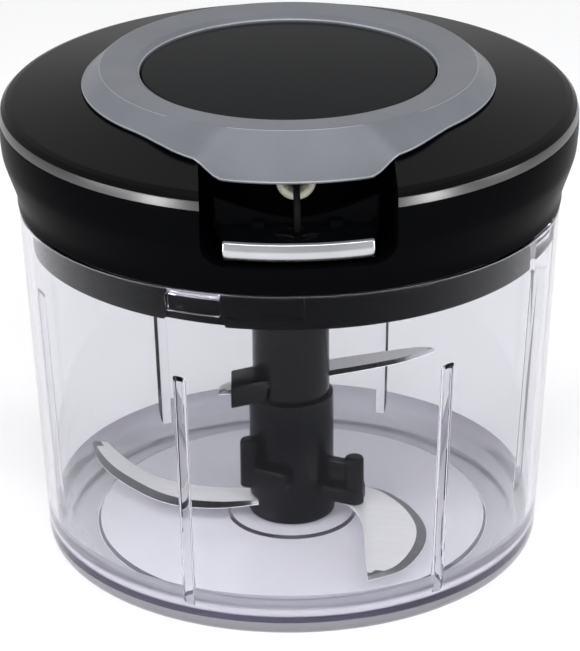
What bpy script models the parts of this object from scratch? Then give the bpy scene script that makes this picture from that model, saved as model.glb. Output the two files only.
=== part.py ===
"""Pull cord food chopper: a clear bowl, a standing knife column and a lid that holds the pull cord drive.

Sizes are in millimetres and become metres where a mesh is built. The part stands on z = 0, its axis is Z
and the pull handle faces -Y. Directions round the axis are measured from -Y towards +X, in degrees.
"""
import math

import bmesh
import bpy
from mathutils import Matrix, Vector

MM = 0.001

# Clearances
SEAT_GAP = 0.3
RUNNING_GAP = 0.6
CUT_MARGIN = 1.0
FUSE_STEP = 0.3
FUSE_INSET = 0.05

# Facets round a full turn
FINE_FACETS = 48
MEDIUM_FACETS = 28
SMALL_FACETS = 16

# Bowl
BOWL_HEIGHT = 90.6
BOWL_FOOT_RADIUS = 61.3
BOWL_FLARE = 4.8
BOWL_WALL = 2.1
BOWL_CORNER_RADIUS = 3.6
BOWL_FLOOR = 3.5
FLOOR_RIM_WIDTH = 12.7
TROUGH_DEPTH = 0.7
COVE_RADIUS = 8.0
BOSS_RADIUS = 15.6
BOSS_HEIGHT = 0.7
RIB_COUNT = 6
RIB_FIRST_DIRECTION = -26.2
RIB_SETDOWN = 23.0
RIB_WIDTH = 2.6
RIB_DEPTH = 1.9
WALL_BITE = 0.8

# Bayonet between the bowl and the lid
LUG_COUNT = 4
LUG_DIRECTION = -22.4
LUG_HALF_ANGLE = 6.0
LUG_REACH = 2.3
LUG_SETDOWN = 6.6
LUG_HEIGHT = 4.6
LOCK_ANGLE = 16.5
CHANNEL_ANGLE_GAP = 1.0

# Spindle moulded into the bowl's boss
SPINDLE_RADIUS = 3.0
SPINDLE_HEIGHT = 26.0
SPINDLE_SINK = 2.4

# Lid base with its skirt
SKIRT_WALL_GAP = 0.5
SKIRT_DEPTH = 9.3
SKIRT_THICKNESS = 3.9
BASE_PLATE_SETDOWN = 1.7
BASE_PLATE_THICKNESS = 2.0
FLANGE_RISE = 2.1
FLANGE_THICKNESS = 1.7
COLLAR_RADIUS = 12.6
COLLAR_WALL = 1.6
COLLAR_DROP = 3.0

# Seal on the bowl's rim
SEAL_LAP = 0.5
SEAL_WIDTH = 1.7

# Lid housing. The flare is given as shares of its width at shares of the wall's height.
LID_RISE = 0.6
LID_FOOT_REACH = 0.2
LID_FLARE = 3.7
LID_FLARE_CURVE = ((0.0, 0.0), (0.02, 0.09), (0.17, 0.194), (0.44, 0.329), (0.71, 0.464), (0.9, 0.586),
                   (1.0, 0.802), (1.0, 0.955))
LID_LIP = 0.7
LID_LIP_HEIGHT = 4.3
LID_WALL = 2.0
LID_WALL_HEIGHT = 22.2
LID_RIM_ROUND = 3.0
LID_RIM_CURVE = ((0.167, 0.333), (0.533, 0.7), (1.0, 0.867))
SHOULDER_RISE = 5.2
SHOULDER_MARGIN = 0.5
TOP_PLATE = 2.2
TOP_BORE_DEPTH = 1.3
SCREW_POST_RADIUS = 3.6
SCREW_SKIRT_GAP = 5.1
SCREW_COUNT = 4
SCREW_DIRECTION = 45.0
SCREW_SHANK_RADIUS = 1.2
SCREW_HEAD_RADIUS = 2.7
SCREW_HEAD_HEIGHT = 1.8
SCREW_LENGTH = 11.0

# Recess for the handle
RECESS_HALF_WIDTH = 22.4
RECESS_UNDERCUT = 2.6
RECESS_FLOOR_RISE = 7.2
RECESS_CORNER = 5.5
RECESS_WALL = 1.8

# Grey ring with its visor, and the cap disc inside it
RING_RADIUS = 50.0
RING_HEIGHT = 4.7
RING_SLOPE_WIDTH = 5.0
RING_INNER_RADIUS = 35.9
RING_WALL = 2.2
RING_CREST_ROUND = 0.8
RING_FOOT_ROUND = 0.7
RING_LIP_ROUND = 1.4
VISOR_REACH = 6.0
VISOR_REACH_ANGLE = 49.0
VISOR_REACH_BLEND = 29.0
VISOR_DROP = 4.2
VISOR_DROP_ANGLE = 25.6
VISOR_DROP_BLEND = 8.0
VISOR_FACET_ANGLE = 3.5
CAP_GAP = 0.4
CAP_HEIGHT = 2.8
CAP_CROWN = 0.7

# Pull cord and its guide. The lead is given as shares of the way and of the drop to the handle.
CORD_RADIUS = 0.8
CORD_SETDOWN = 6.4
CORD_PITCH = 2.15
CORD_TURN_COUNT = 5
CORD_LOOP_FACETS = 24
CORD_ENTRY_INSET = 1.6
CORD_LEAD_CURVE = ((0.0, 0.0), (0.43, 0.18), (0.9, 0.6), (1.0, 1.0))
CORD_STAND = 1.5
EYELET_RADIUS = 4.6
EYELET_BORE_RADIUS = 2.9
EYELET_NECK_RADIUS = 3.6
EYELET_FLANGE = 1.5

# Reel and the toothed clutch ring below it
REEL_CORE_RADIUS = 14.0
REEL_FLANGE_RADIUS = 22.0
REEL_FLANGE_THICKNESS = 1.4
REEL_WEB_STEP = 0.4
RATCHET_RADIUS = 12.6
RATCHET_WALL = 1.7
RATCHET_COUNT = 10
RATCHET_TOOTH_DEPTH = 1.3
RATCHET_DEPTH = 6.0
TOOTH_ROOT_ANGLE = 7.0
TOOTH_FACE_ANGLE = 5.0
TOOTH_TIP_ANGLE = 1.5

# Drive shaft, clutch pawls and dog. The pawl's sides are shares of its reach.
SHAFT_RADIUS = 3.0
DRIVE_DISC_RADIUS = 9.0
DRIVE_DISC_THICKNESS = 1.8
PAWL_PIVOT_RADIUS = 5.9
PAWL_HEIGHT = 2.6
PAWL_EYE_RADIUS = 1.9
PAWL_REACH = 6.1
PAWL_TIP_OFFSET = 2.5
PAWL_NOSE = 1.1
PAWL_CHEEK = 0.4
PAWL_PIN_RADIUS = 0.8
BUSH_WALL = 1.8
BUSH_FLANGE_WIDTH = 1.8
BUSH_FLANGE_THICKNESS = 1.3
DOG_HUB_RADIUS = 4.6
DOG_FIN_RADIUS = 6.4
DOG_FIN_THICKNESS = 2.0
DOG_DEPTH = 10.9
DOG_OVERLAP = 7.0

# Recoil spring in its cup
CUP_RADIUS = 28.0
CUP_WALL = 1.4
CUP_FLOOR = 1.0
SPRING_STRIP = 0.5
SPRING_LOOP_COUNT = 6
SPRING_LOOP_FACETS = 24

# Knife column
COLUMN_SPLIT = 37.5
COLUMN_LOW_RADIUS = 10.6
COLUMN_STEP = 1.0
COLUMN_HEAD_GAP = 3.3
COLUMN_EDGE = 0.6
COLUMN_FOOT_BULGE = 0.4
COLUMN_FOOT_EDGE = 0.8
COLUMN_FOOT_HEIGHT = 5.0
SPIGOT_RADIUS = 6.8
SPIGOT_LENGTH = 5.6
SOCKET_DEPTH = 9.0
SOCKET_RADIUS = 7.2
SOCKET_KEY_RADIUS = 5.0
SOCKET_KEY_THICKNESS = 2.0
SOCKET_KEY_DIRECTION = 125.0

# Left blade holder: a block on the column with a post on it
LEFT_HOLDER_DIRECTION = -35.0
LEFT_HOLDER_REACH = 13.2
LEFT_HOLDER_LENGTH = 8.0
LEFT_HOLDER_WIDTH = 12.6
LEFT_HOLDER_LOW = 15.0
LEFT_HOLDER_HEIGHT = 5.3
LEFT_POST_REACH = 11.9
LEFT_POST_SHIFT = -4.7
LEFT_POST_HEIGHT = 6.9

# Right blade holder: a block with a web and a post on it
RIGHT_HOLDER_DIRECTION = 62.0
RIGHT_HOLDER_REACH = 19.2
RIGHT_HOLDER_LENGTH = 14.0
RIGHT_HOLDER_WIDTH = 6.6
RIGHT_HOLDER_LOW = 10.0
RIGHT_HOLDER_HEIGHT = 4.0
RIGHT_WEB_REACH = 16.5
RIGHT_WEB_LENGTH = 11.0
RIGHT_WEB_WIDTH = 2.6
RIGHT_WEB_HEIGHT = 6.6
RIGHT_POST_REACH = 17.4
RIGHT_POST_HEIGHT = 8.2
HOLDER_POST_RADIUS = 2.45
POST_DOME = 1.1

# Wedge that holds the upper blade's tail
WEDGE_OUTLINE = ((-6.0, -8.4), (-15.2, -12.4), (-15.0, -2.2), (-6.0, 2.0))
WEDGE_RISE = 0.5
WEDGE_COVER = 1.6

# Blades: plans of their edges, seen from above, and the sweep of the side blade
BLADE_THICKNESS = 1.0
BLADE_EDGE_SHARE = 0.35
BLADE_GROUND_SHARE = 0.055
FRONT_BLADE_RISE = 3.9
SIDE_BLADE_SWEEP = 4.4
SIDE_BLADE_SWEEP_START = 30.0
SIDE_BLADE_SWEEP_END = 56.0
UPPER_BLADE_RISE = 3.7
SIDE_BLADE_EDGE = ((-8.6, -6.6), (-18.0, -8.2), (-27.0, -7.0), (-34.3, -3.2), (-41.3, 3.2), (-47.0, 9.6),
                   (-50.4, 16.0), (-51.6, 21.4))
SIDE_BLADE_BACK = ((-51.6, 21.4), (-47.6, 22.4), (-43.2, 17.0), (-36.0, 9.4), (-24.0, 3.0), (-8.6, 0.6))
FRONT_BLADE_EDGE = ((8.2, 2.2), (20.2, 1.6), (27.2, -5.7), (31.2, -15.0), (32.3, -24.4), (30.0, -34.4),
                    (24.6, -43.6), (16.4, -48.4))
FRONT_BLADE_BACK = ((16.6, -35.0), (16.7, -18.4), (14.0, -8.6), (8.6, -4.4))
UPPER_BLADE_BACK = ((-18.2, -11.0), (-16.4, -6.2), (-8.0, -2.2), (2.0, 2.6), (11.3, 7.0), (20.3, 9.8),
                    (28.0, 11.9), (33.4, 13.0), (37.4, 12.4))
UPPER_BLADE_EDGE = ((37.4, 12.4), (32.9, 9.0), (27.6, 5.6), (19.9, 2.3), (10.9, -0.9))
UPPER_BLADE_TAIL = (-13.5, -10.4)

# Handle
HANDLE_SIDE_GAP = 5.1
HANDLE_REAR_SIDE_GAP = 3.4
HANDLE_REAR_GAP = 3.6
HANDLE_REAR_LENGTH = 3.0
HANDLE_RISE = 5.0
HANDLE_PLATE = 1.5
HANDLE_FRONT_SETBACK = 5.4
HANDLE_WEB = 2.4
HANDLE_WEB_END_ANGLE = 0.4
HANDLE_WALL = 1.5
HANDLE_WALL_DIP = 1.2
HANDLE_WALL_RISE = 5.6
HANDLE_WALL_INSET = 0.1
HANDLE_FOOT_CHAMFER = 2.4
TRIM_THICKNESS = 1.7
TRIM_HEIGHT = 4.4
TRIM_PROUD = 0.3
TRIM_END_SCALE = 0.6
TRIM_STEPS = 14
TRIM_FACETS = 10
CORD_HOLE_SETBACK = 8.0
CRIMP_RADIUS = 2.0
CRIMP_HEIGHT = 2.0
CRIMP_EDGE = 0.3
BOSS_WALL = 1.2
TAB_OFFSET = 9.0
TAB_SETBACK = 3.6
TAB_LENGTH = 3.0
TAB_WIDTH = 1.6
TAB_HEIGHT = 1.5


def bowl_outer(height):
    """Radius of the bowl's outer wall at a height."""
    return BOWL_FOOT_RADIUS + BOWL_FLARE * height / BOWL_HEIGHT


def bowl_inner(height):
    """Radius of the bowl's inner wall at a height."""
    return bowl_outer(height) - BOWL_WALL


# Places on the bowl
BOWL_RIM_RADIUS = BOWL_FOOT_RADIUS + BOWL_FLARE
BOSS_TOP = BOWL_FLOOR + BOSS_HEIGHT
FLOOR_DISC_RADIUS = BOWL_FOOT_RADIUS - FLOOR_RIM_WIDTH
RIB_TOP = BOWL_HEIGHT - RIB_SETDOWN
LUG_LOW = BOWL_HEIGHT - LUG_SETDOWN
LUG_TOP = LUG_LOW + LUG_HEIGHT
LUG_INNER_RADIUS = bowl_inner(LUG_LOW) - LUG_REACH
SPINDLE_TOP = BOSS_TOP + SPINDLE_HEIGHT

# Places on the lid's base and seal
SKIRT_LOW = BOWL_HEIGHT - SKIRT_DEPTH
SKIRT_RADIUS = bowl_inner(SKIRT_LOW) - SKIRT_WALL_GAP
SKIRT_INNER_RADIUS = SKIRT_RADIUS - SKIRT_THICKNESS
BASE_PLATE_LOW = BOWL_HEIGHT - BASE_PLATE_SETDOWN
BASE_PLATE_TOP = BASE_PLATE_LOW + BASE_PLATE_THICKNESS
FLANGE_LOW = BOWL_HEIGHT + FLANGE_RISE
SEAL_INNER_RADIUS = BOWL_RIM_RADIUS - BOWL_WALL - SEAL_LAP
SEAL_OUTER_RADIUS = SEAL_INNER_RADIUS + SEAL_WIDTH
SCREW_CIRCLE_RADIUS = SKIRT_INNER_RADIUS - SCREW_SKIRT_GAP

# Places on the lid's housing and ring
LID_LOW = BOWL_HEIGHT + LID_RISE
LID_FOOT_RADIUS = BOWL_RIM_RADIUS + LID_FOOT_REACH
LID_LIP_RADIUS = LID_FOOT_RADIUS - LID_LIP
LID_RADIUS = LID_FOOT_RADIUS + LID_FLARE
RIM_HEIGHT = LID_LOW + LID_WALL_HEIGHT
SHOULDER_HEIGHT = RIM_HEIGHT + SHOULDER_RISE
SHOULDER_RADIUS = RING_RADIUS + SHOULDER_MARGIN
TOP_UNDERSIDE = SHOULDER_HEIGHT - TOP_PLATE
RECESS_FLOOR = LID_LOW + RECESS_FLOOR_RISE
RECESS_BACK_RADIUS = RING_RADIUS - RECESS_UNDERCUT
RING_FOOT = SHOULDER_HEIGHT + SEAT_GAP
RING_TOP = RING_FOOT + RING_HEIGHT
RING_CREST_RADIUS = RING_RADIUS - RING_SLOPE_WIDTH
CAP_RADIUS = RING_INNER_RADIUS - CAP_GAP
CAP_EDGE_HEIGHT = RING_FOOT + CAP_HEIGHT

# Places in the drive
BORE_RADIUS = SHAFT_RADIUS + SEAT_GAP
CUP_LOW = BASE_PLATE_TOP + SEAT_GAP
BUSH_TOP = CUP_LOW + BUSH_FLANGE_THICKNESS
BUSH_RADIUS = BORE_RADIUS + BUSH_WALL
DRIVE_DISC_LOW = BUSH_TOP + SEAT_GAP
DRIVE_DISC_TOP = DRIVE_DISC_LOW + DRIVE_DISC_THICKNESS
PAWL_LOW = DRIVE_DISC_TOP + SEAT_GAP
CORD_HEIGHT = SHOULDER_HEIGHT - CORD_SETDOWN
CORD_DRUM_RADIUS = REEL_CORE_RADIUS + SEAT_GAP + CORD_RADIUS
CORD_LOW = CORD_HEIGHT - CORD_PITCH * CORD_TURN_COUNT
REEL_GROOVE_TOP = CORD_HEIGHT + CORD_RADIUS + RUNNING_GAP
REEL_GROOVE_LOW = CORD_LOW - CORD_RADIUS - RUNNING_GAP
REEL_TOP = REEL_GROOVE_TOP + REEL_FLANGE_THICKNESS
REEL_LOW = REEL_GROOVE_LOW - REEL_FLANGE_THICKNESS
RATCHET_LOW = REEL_LOW - RATCHET_DEPTH
RATCHET_INNER_RADIUS = RATCHET_RADIUS - RATCHET_WALL
SPRING_LOW = CUP_LOW + CUP_FLOOR + SEAT_GAP
SPRING_HIGH = REEL_LOW - RUNNING_GAP
SHAFT_TOP = TOP_UNDERSIDE + TOP_BORE_DEPTH - SEAT_GAP
DOG_LOW = BASE_PLATE_LOW - DOG_DEPTH
DOG_TOP = BASE_PLATE_LOW - RUNNING_GAP
SHAFT_LOW = DOG_TOP - DOG_OVERLAP

# Places on the knives
COLUMN_LOW = BOSS_TOP + SEAT_GAP
COLUMN_HIGH_RADIUS = COLUMN_LOW_RADIUS - COLUMN_STEP
COLUMN_TOP = BASE_PLATE_LOW - COLUMN_HEAD_GAP
SOCKET_FLOOR = COLUMN_TOP - SOCKET_DEPTH
LOW_BLADE_HEIGHT = COLUMN_LOW + FRONT_BLADE_RISE
UPPER_BLADE_HEIGHT = COLUMN_SPLIT + UPPER_BLADE_RISE

# Places on the handle
HANDLE_LOW = RECESS_FLOOR + SEAT_GAP
HANDLE_TOP = RECESS_FLOOR + HANDLE_RISE
HANDLE_REAR = RECESS_BACK_RADIUS + HANDLE_REAR_GAP
HANDLE_HALF_WIDTH = RECESS_HALF_WIDTH - HANDLE_SIDE_GAP
HANDLE_REAR_HALF_WIDTH = RECESS_HALF_WIDTH - HANDLE_REAR_SIDE_GAP
HANDLE_FRONT_RADIUS = LID_RADIUS - HANDLE_FRONT_SETBACK
CORD_HOLE_FRONT = HANDLE_FRONT_RADIUS - CORD_HOLE_SETBACK
CORD_END = Vector((0.0, -CORD_HOLE_FRONT, HANDLE_TOP - HANDLE_PLATE))


def new_object(name, mesh_builder, material, smooth_angle=35.0):
    """Makes one object from a bmesh whose vertices are in millimetres."""
    bm = bmesh.new()
    mesh_builder(bm)
    bmesh.ops.recalc_face_normals(bm, faces=bm.faces)
    bmesh.ops.scale(bm, vec=Vector((MM, MM, MM)), verts=bm.verts)
    mesh = bpy.data.meshes.new(name)
    bm.to_mesh(mesh)
    bm.free()
    mesh.shade_smooth()
    mesh.set_sharp_from_angle(angle=math.radians(smooth_angle))
    mesh.materials.append(material)
    made = bpy.data.objects.new(name, mesh)
    bpy.context.scene.collection.objects.link(made)
    return made


def new_material(name, color, roughness, metallic=0.0, alpha=1.0):
    """Makes a plain shader with the piece's colour."""
    material = bpy.data.materials.new(name)
    material.use_nodes = True
    shader = material.node_tree.nodes["Principled BSDF"]
    shader.inputs["Base Color"].default_value = (*color, 1.0)
    shader.inputs["Roughness"].default_value = roughness
    shader.inputs["Metallic"].default_value = metallic
    shader.inputs["Alpha"].default_value = alpha
    return material


def combine(target, tool, operation="DIFFERENCE"):
    """Cuts a tool out of a target, or fuses it on, and hides the tool."""
    modifier = target.modifiers.new(tool.name, "BOOLEAN")
    modifier.operation = operation
    modifier.solver = "EXACT"
    modifier.object = tool
    tool.hide_render = True
    tool.display_type = "WIRE"


def around(radius, direction, height=0.0):
    """Point at a radius and a direction measured from -Y towards +X."""
    angle = math.radians(direction)
    return Vector((radius * math.sin(angle), -radius * math.cos(angle), height))


def arc_points(center, radius, start, end, steps):
    """Points of an arc in a profile plane, angles in degrees from the first axis."""
    points = []
    for step in range(steps + 1):
        angle = math.radians(start + (end - start) * step / steps)
        points.append((center[0] + radius * math.cos(angle), center[1] + radius * math.sin(angle)))
    return points


def smooth_curve(points, steps):
    """Catmull-Rom curve through points of any dimension, with some steps between each two."""
    points = [Vector(point) for point in points]
    padded = [points[0] * 2 - points[1]] + points + [points[-1] * 2 - points[-2]]
    curve = []
    for index in range(len(points) - 1):
        before, start, end, after = padded[index:index + 4]
        for step in range(steps):
            t = step / steps
            curve.append(0.5 * (start * 2 + (end - before) * t
                                + (before * 2 - start * 5 + end * 4 - after) * t ** 2
                                + (start * 3 - before - end * 3 + after) * t ** 3))
    curve.append(points[-1])
    return curve


def full_turn(facets):
    """Evenly spaced directions round a full turn."""
    return [360.0 * facet / facets for facet in range(facets)]


def add_lathe(bm, profile_at, directions):
    """Turns a closed profile of (radius, height) round Z. The profile may change with direction."""
    poles = {}
    rings = []
    for direction in directions:
        ring = []
        for index, (radius, height) in enumerate(profile_at(direction)):
            if radius < 1e-6:
                if index not in poles:
                    poles[index] = bm.verts.new((0.0, 0.0, height))
                ring.append(poles[index])
            else:
                ring.append(bm.verts.new(around(radius, direction, height)))
        rings.append(ring)
    for facet, ring in enumerate(rings):
        following = rings[(facet + 1) % len(rings)]
        for index in range(len(ring)):
            after = (index + 1) % len(ring)
            corners = [ring[index], ring[after], following[after], following[index]]
            corners = [vert for place, vert in enumerate(corners) if vert not in corners[:place]]
            if len(corners) > 2:
                bm.faces.new(corners)


def lathe(name, profile, material, facets=MEDIUM_FACETS):
    """Object turned from a closed profile."""
    return new_object(name, lambda bm: add_lathe(bm, lambda direction: profile, full_turn(facets)), material)


def add_prism(bm, outline, low, high, matrix=None):
    """Extrudes an XY outline between two heights."""
    matrix = matrix or Matrix.Identity(4)
    floor = [bm.verts.new(matrix @ Vector((x, y, low))) for x, y in outline]
    top = [bm.verts.new(matrix @ Vector((x, y, high))) for x, y in outline]
    bm.faces.new(floor)
    bm.faces.new(top)
    for index in range(len(outline)):
        after = (index + 1) % len(outline)
        bm.faces.new((floor[index], floor[after], top[after], top[index]))


def prism(name, outline, low, high, material, matrix=None):
    """Object extruded from an XY outline."""
    return new_object(name, lambda bm: add_prism(bm, outline, low, high, matrix), material)


def sector_outline(inner, outer, start, end, steps):
    """XY outline of an annular sector between two directions."""
    outline = []
    for step in range(steps + 1):
        outline.append(around(outer, start + (end - start) * step / steps)[:2])
    for step in range(steps + 1):
        outline.append(around(inner, end + (start - end) * step / steps)[:2])
    return outline


def circle_outline(center, radius, facets):
    """XY outline of a circle."""
    return arc_points(center, radius, 0.0, 360.0 * (facets - 1) / facets, facets - 1)


def standing(direction):
    """Matrix that stands an outline of (radius, height) up in the plane of a direction."""
    angle = math.radians(direction)
    outward = Vector((math.sin(angle), -math.cos(angle), 0.0))
    up = Vector((0.0, 0.0, 1.0))
    side = outward.cross(up)
    matrix = Matrix((outward, up, side)).transposed().to_4x4()
    return matrix


def block_outline(length, width):
    """XY outline of a rectangle about the origin."""
    half_length, half_width = length / 2, width / 2
    return [(-half_length, -half_width), (half_length, -half_width), (half_length, half_width),
            (-half_length, half_width)]


def place(radius, direction, sideways=0.0):
    """Matrix that carries +X to a direction, with the origin out along it and shifted sideways."""
    turn = Matrix.Rotation(math.radians(direction - 90.0), 4, "Z")
    return turn @ Matrix.Translation((radius, sideways, 0.0))


def build_bowl(clear):
    """Clear bowl with a coved floor, six inner ribs and four bayonet lugs."""
    corner = BOWL_CORNER_RADIUS
    corner_center = (bowl_outer(corner) - corner, corner)
    trough = BOWL_FLOOR - TROUGH_DEPTH
    cove_center = (bowl_inner(trough + COVE_RADIUS) - COVE_RADIUS, trough + COVE_RADIUS)
    hole = SPINDLE_RADIUS + SEAT_GAP
    profile = [(0.0, 0.0)]
    profile += arc_points(corner_center, corner, -90.0, 0.0, 4)
    profile += [(bowl_outer(BOWL_HEIGHT), BOWL_HEIGHT), (bowl_inner(BOWL_HEIGHT), BOWL_HEIGHT)]
    profile += arc_points(cove_center, COVE_RADIUS, 0.0, -90.0, 4)
    profile += [(FLOOR_DISC_RADIUS + TROUGH_DEPTH, trough), (FLOOR_DISC_RADIUS, BOWL_FLOOR),
                (BOSS_RADIUS + BOSS_HEIGHT, BOWL_FLOOR), (BOSS_RADIUS, BOSS_TOP),
                (hole, BOSS_TOP), (hole, BOSS_TOP - SPINDLE_SINK), (0.0, BOSS_TOP - SPINDLE_SINK)]
    bowl = lathe("bowl", profile, clear, FINE_FACETS)

    def add_ribs(bm):
        foot = BOWL_FLOOR - TROUGH_DEPTH - WALL_BITE
        for index in range(RIB_COUNT):
            shoulder = RIB_TOP - RIB_DEPTH
            outline = [(bowl_inner(foot) + WALL_BITE, foot), (bowl_inner(foot) - RIB_DEPTH, foot)]
            outline += [(bowl_inner(shoulder) - RIB_DEPTH, shoulder)]
            outline += [(bowl_inner(RIB_TOP) - RIB_DEPTH / 2, RIB_TOP - RIB_DEPTH / 3)]
            outline += [(bowl_inner(RIB_TOP), RIB_TOP), (bowl_inner(RIB_TOP) + WALL_BITE, RIB_TOP)]
            direction = RIB_FIRST_DIRECTION + 360.0 * index / RIB_COUNT
            add_prism(bm, outline, -RIB_WIDTH / 2, RIB_WIDTH / 2, standing(direction))

    def add_lugs(bm):
        for index in range(LUG_COUNT):
            middle = LUG_DIRECTION + 360.0 * index / LUG_COUNT
            outline = sector_outline(LUG_INNER_RADIUS, bowl_inner(LUG_LOW) + WALL_BITE,
                                     middle - LUG_HALF_ANGLE, middle + LUG_HALF_ANGLE, 3)
            add_prism(bm, outline, LUG_LOW, LUG_TOP)

    combine(bowl, new_object("bowl_rib_tool", add_ribs, clear), "UNION")
    combine(bowl, new_object("bowl_lug_tool", add_lugs, clear), "UNION")
    return bowl


def build_spindle(steel):
    """Steel pin that stands in the bowl's boss and carries the knife column."""
    low = BOSS_TOP - SPINDLE_SINK + SEAT_GAP
    chamfer = SPINDLE_RADIUS / 3
    profile = [(0.0, low), (SPINDLE_RADIUS, low), (SPINDLE_RADIUS, SPINDLE_TOP - chamfer),
               (SPINDLE_RADIUS - chamfer, SPINDLE_TOP), (0.0, SPINDLE_TOP)]
    return lathe("spindle_pin", profile, steel, SMALL_FACETS)


def build_seal(rubber):
    """Seal between the bowl's rim and the lid's flange."""
    low = BOWL_HEIGHT + SEAT_GAP
    high = FLANGE_LOW - SEAT_GAP
    bulge = SEAL_WIDTH / 4
    profile = [(SEAL_INNER_RADIUS, low), (SEAL_OUTER_RADIUS - bulge, low)]
    profile += [(SEAL_OUTER_RADIUS, (low + high) / 2), (SEAL_OUTER_RADIUS - bulge, high)]
    profile += [(SEAL_INNER_RADIUS, high)]
    return lathe("seal_ring", profile, rubber, FINE_FACETS)


def add_bayonet_slots(bm, run_end, low, high):
    """Sectors cut from the skirt's face at each lug, as far round as the lug runs."""
    inner = LUG_INNER_RADIUS - SEAT_GAP
    for index in range(LUG_COUNT):
        start = LUG_DIRECTION - LUG_HALF_ANGLE - CHANNEL_ANGLE_GAP + 360.0 * index / LUG_COUNT
        end = start + 2 * (LUG_HALF_ANGLE + CHANNEL_ANGLE_GAP) + run_end
        add_prism(bm, sector_outline(inner, SKIRT_RADIUS + CUT_MARGIN, start, end, 6), low, high)


def build_lid_base(black):
    """Underside of the lid: plate, collar, flange and the skirt with its four bayonet channels."""
    hole = BUSH_RADIUS + SEAT_GAP
    flange_radius = LID_LIP_RADIUS - SEAT_GAP
    flange_top = FLANGE_LOW + FLANGE_THICKNESS
    collar_low = BASE_PLATE_LOW - COLLAR_DROP
    profile = [(hole, BASE_PLATE_LOW), (COLLAR_RADIUS - COLLAR_WALL, BASE_PLATE_LOW),
               (COLLAR_RADIUS - COLLAR_WALL, collar_low), (COLLAR_RADIUS, collar_low),
               (COLLAR_RADIUS, BASE_PLATE_LOW), (SKIRT_INNER_RADIUS, BASE_PLATE_LOW),
               (SKIRT_INNER_RADIUS, SKIRT_LOW), (SKIRT_RADIUS, SKIRT_LOW), (SKIRT_RADIUS, FLANGE_LOW),
               (flange_radius, FLANGE_LOW), (flange_radius, flange_top), (SKIRT_INNER_RADIUS, flange_top),
               (SKIRT_INNER_RADIUS, BASE_PLATE_TOP), (hole, BASE_PLATE_TOP)]
    base = lathe("lid_base", profile, black, FINE_FACETS)

    def add_runs(bm):
        add_bayonet_slots(bm, LOCK_ANGLE, LUG_LOW - SEAT_GAP, LUG_TOP + SEAT_GAP)

    def add_mouths(bm):
        add_bayonet_slots(bm, 0.0, SKIRT_LOW - CUT_MARGIN, LUG_TOP - CUT_MARGIN)

    def add_screw_holes(bm):
        for index in range(SCREW_COUNT):
            center = around(SCREW_CIRCLE_RADIUS, SCREW_DIRECTION + 360.0 * index / SCREW_COUNT)[:2]
            outline = circle_outline(center, SCREW_SHANK_RADIUS + SEAT_GAP, SMALL_FACETS)
            add_prism(bm, outline, BASE_PLATE_LOW - CUT_MARGIN, BASE_PLATE_TOP + CUT_MARGIN)

    combine(base, new_object("bayonet_run_tool", add_runs, black))
    combine(base, new_object("bayonet_mouth_tool", add_mouths, black))
    combine(base, new_object("base_screw_tool", add_screw_holes, black))
    return base


def add_recess(bm, half_width, back_radius, floor, corner):
    """Solid of the handle's recess: rounded below, curved at the back, open to the front and top."""
    front = LID_RADIUS + CUT_MARGIN
    ceiling = RING_TOP + CUT_MARGIN
    corner_steps = 4
    stations = []
    for step in range(corner_steps + 1):
        angle = math.radians(90.0 * step / corner_steps)
        inwards = corner * (1.0 - math.cos(angle))
        stations.append((-half_width + inwards, floor + corner * (1.0 - math.sin(angle))))
    stations += [(half_width * share, floor) for share in (-0.45, -0.15, 0.15, 0.45)]
    stations += [(-x, z) for x, z in reversed(stations[:corner_steps + 1])]
    rows = []
    for x, z in stations:
        back = -math.sqrt(back_radius ** 2 - x ** 2)
        rows.append([bm.verts.new(point) for point in
                     ((x, -front, z), (x, back, z), (x, back, ceiling), (x, -front, ceiling))])
    for row, following in zip(rows, rows[1:]):
        for index in range(4):
            after = (index + 1) % 4
            bm.faces.new((row[index], row[after], following[after], following[index]))
    bm.faces.new(rows[0])
    bm.faces.new(rows[-1])


def lid_outer_profile():
    """Points of the lid's outer face from its foot up to the shoulder."""
    points = []
    for out, up in LID_FLARE_CURVE:
        points.append((LID_FOOT_RADIUS + LID_FLARE * out, LID_LOW + LID_WALL_HEIGHT * up))
    for inset, up in LID_RIM_CURVE:
        points.append((LID_RADIUS - LID_RIM_ROUND * inset, RIM_HEIGHT + LID_RIM_ROUND * up))
    return points + [(SHOULDER_RADIUS, SHOULDER_HEIGHT)]


def shoulder_level(radius):
    """Height of the lid's sloping shoulder at a radius."""
    rim_radius, rim_top = lid_outer_profile()[-2]
    share = (radius - SHOULDER_RADIUS) / (rim_radius - SHOULDER_RADIUS)
    return SHOULDER_HEIGHT + (rim_top - SHOULDER_HEIGHT) * max(share, 0.0)


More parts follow.
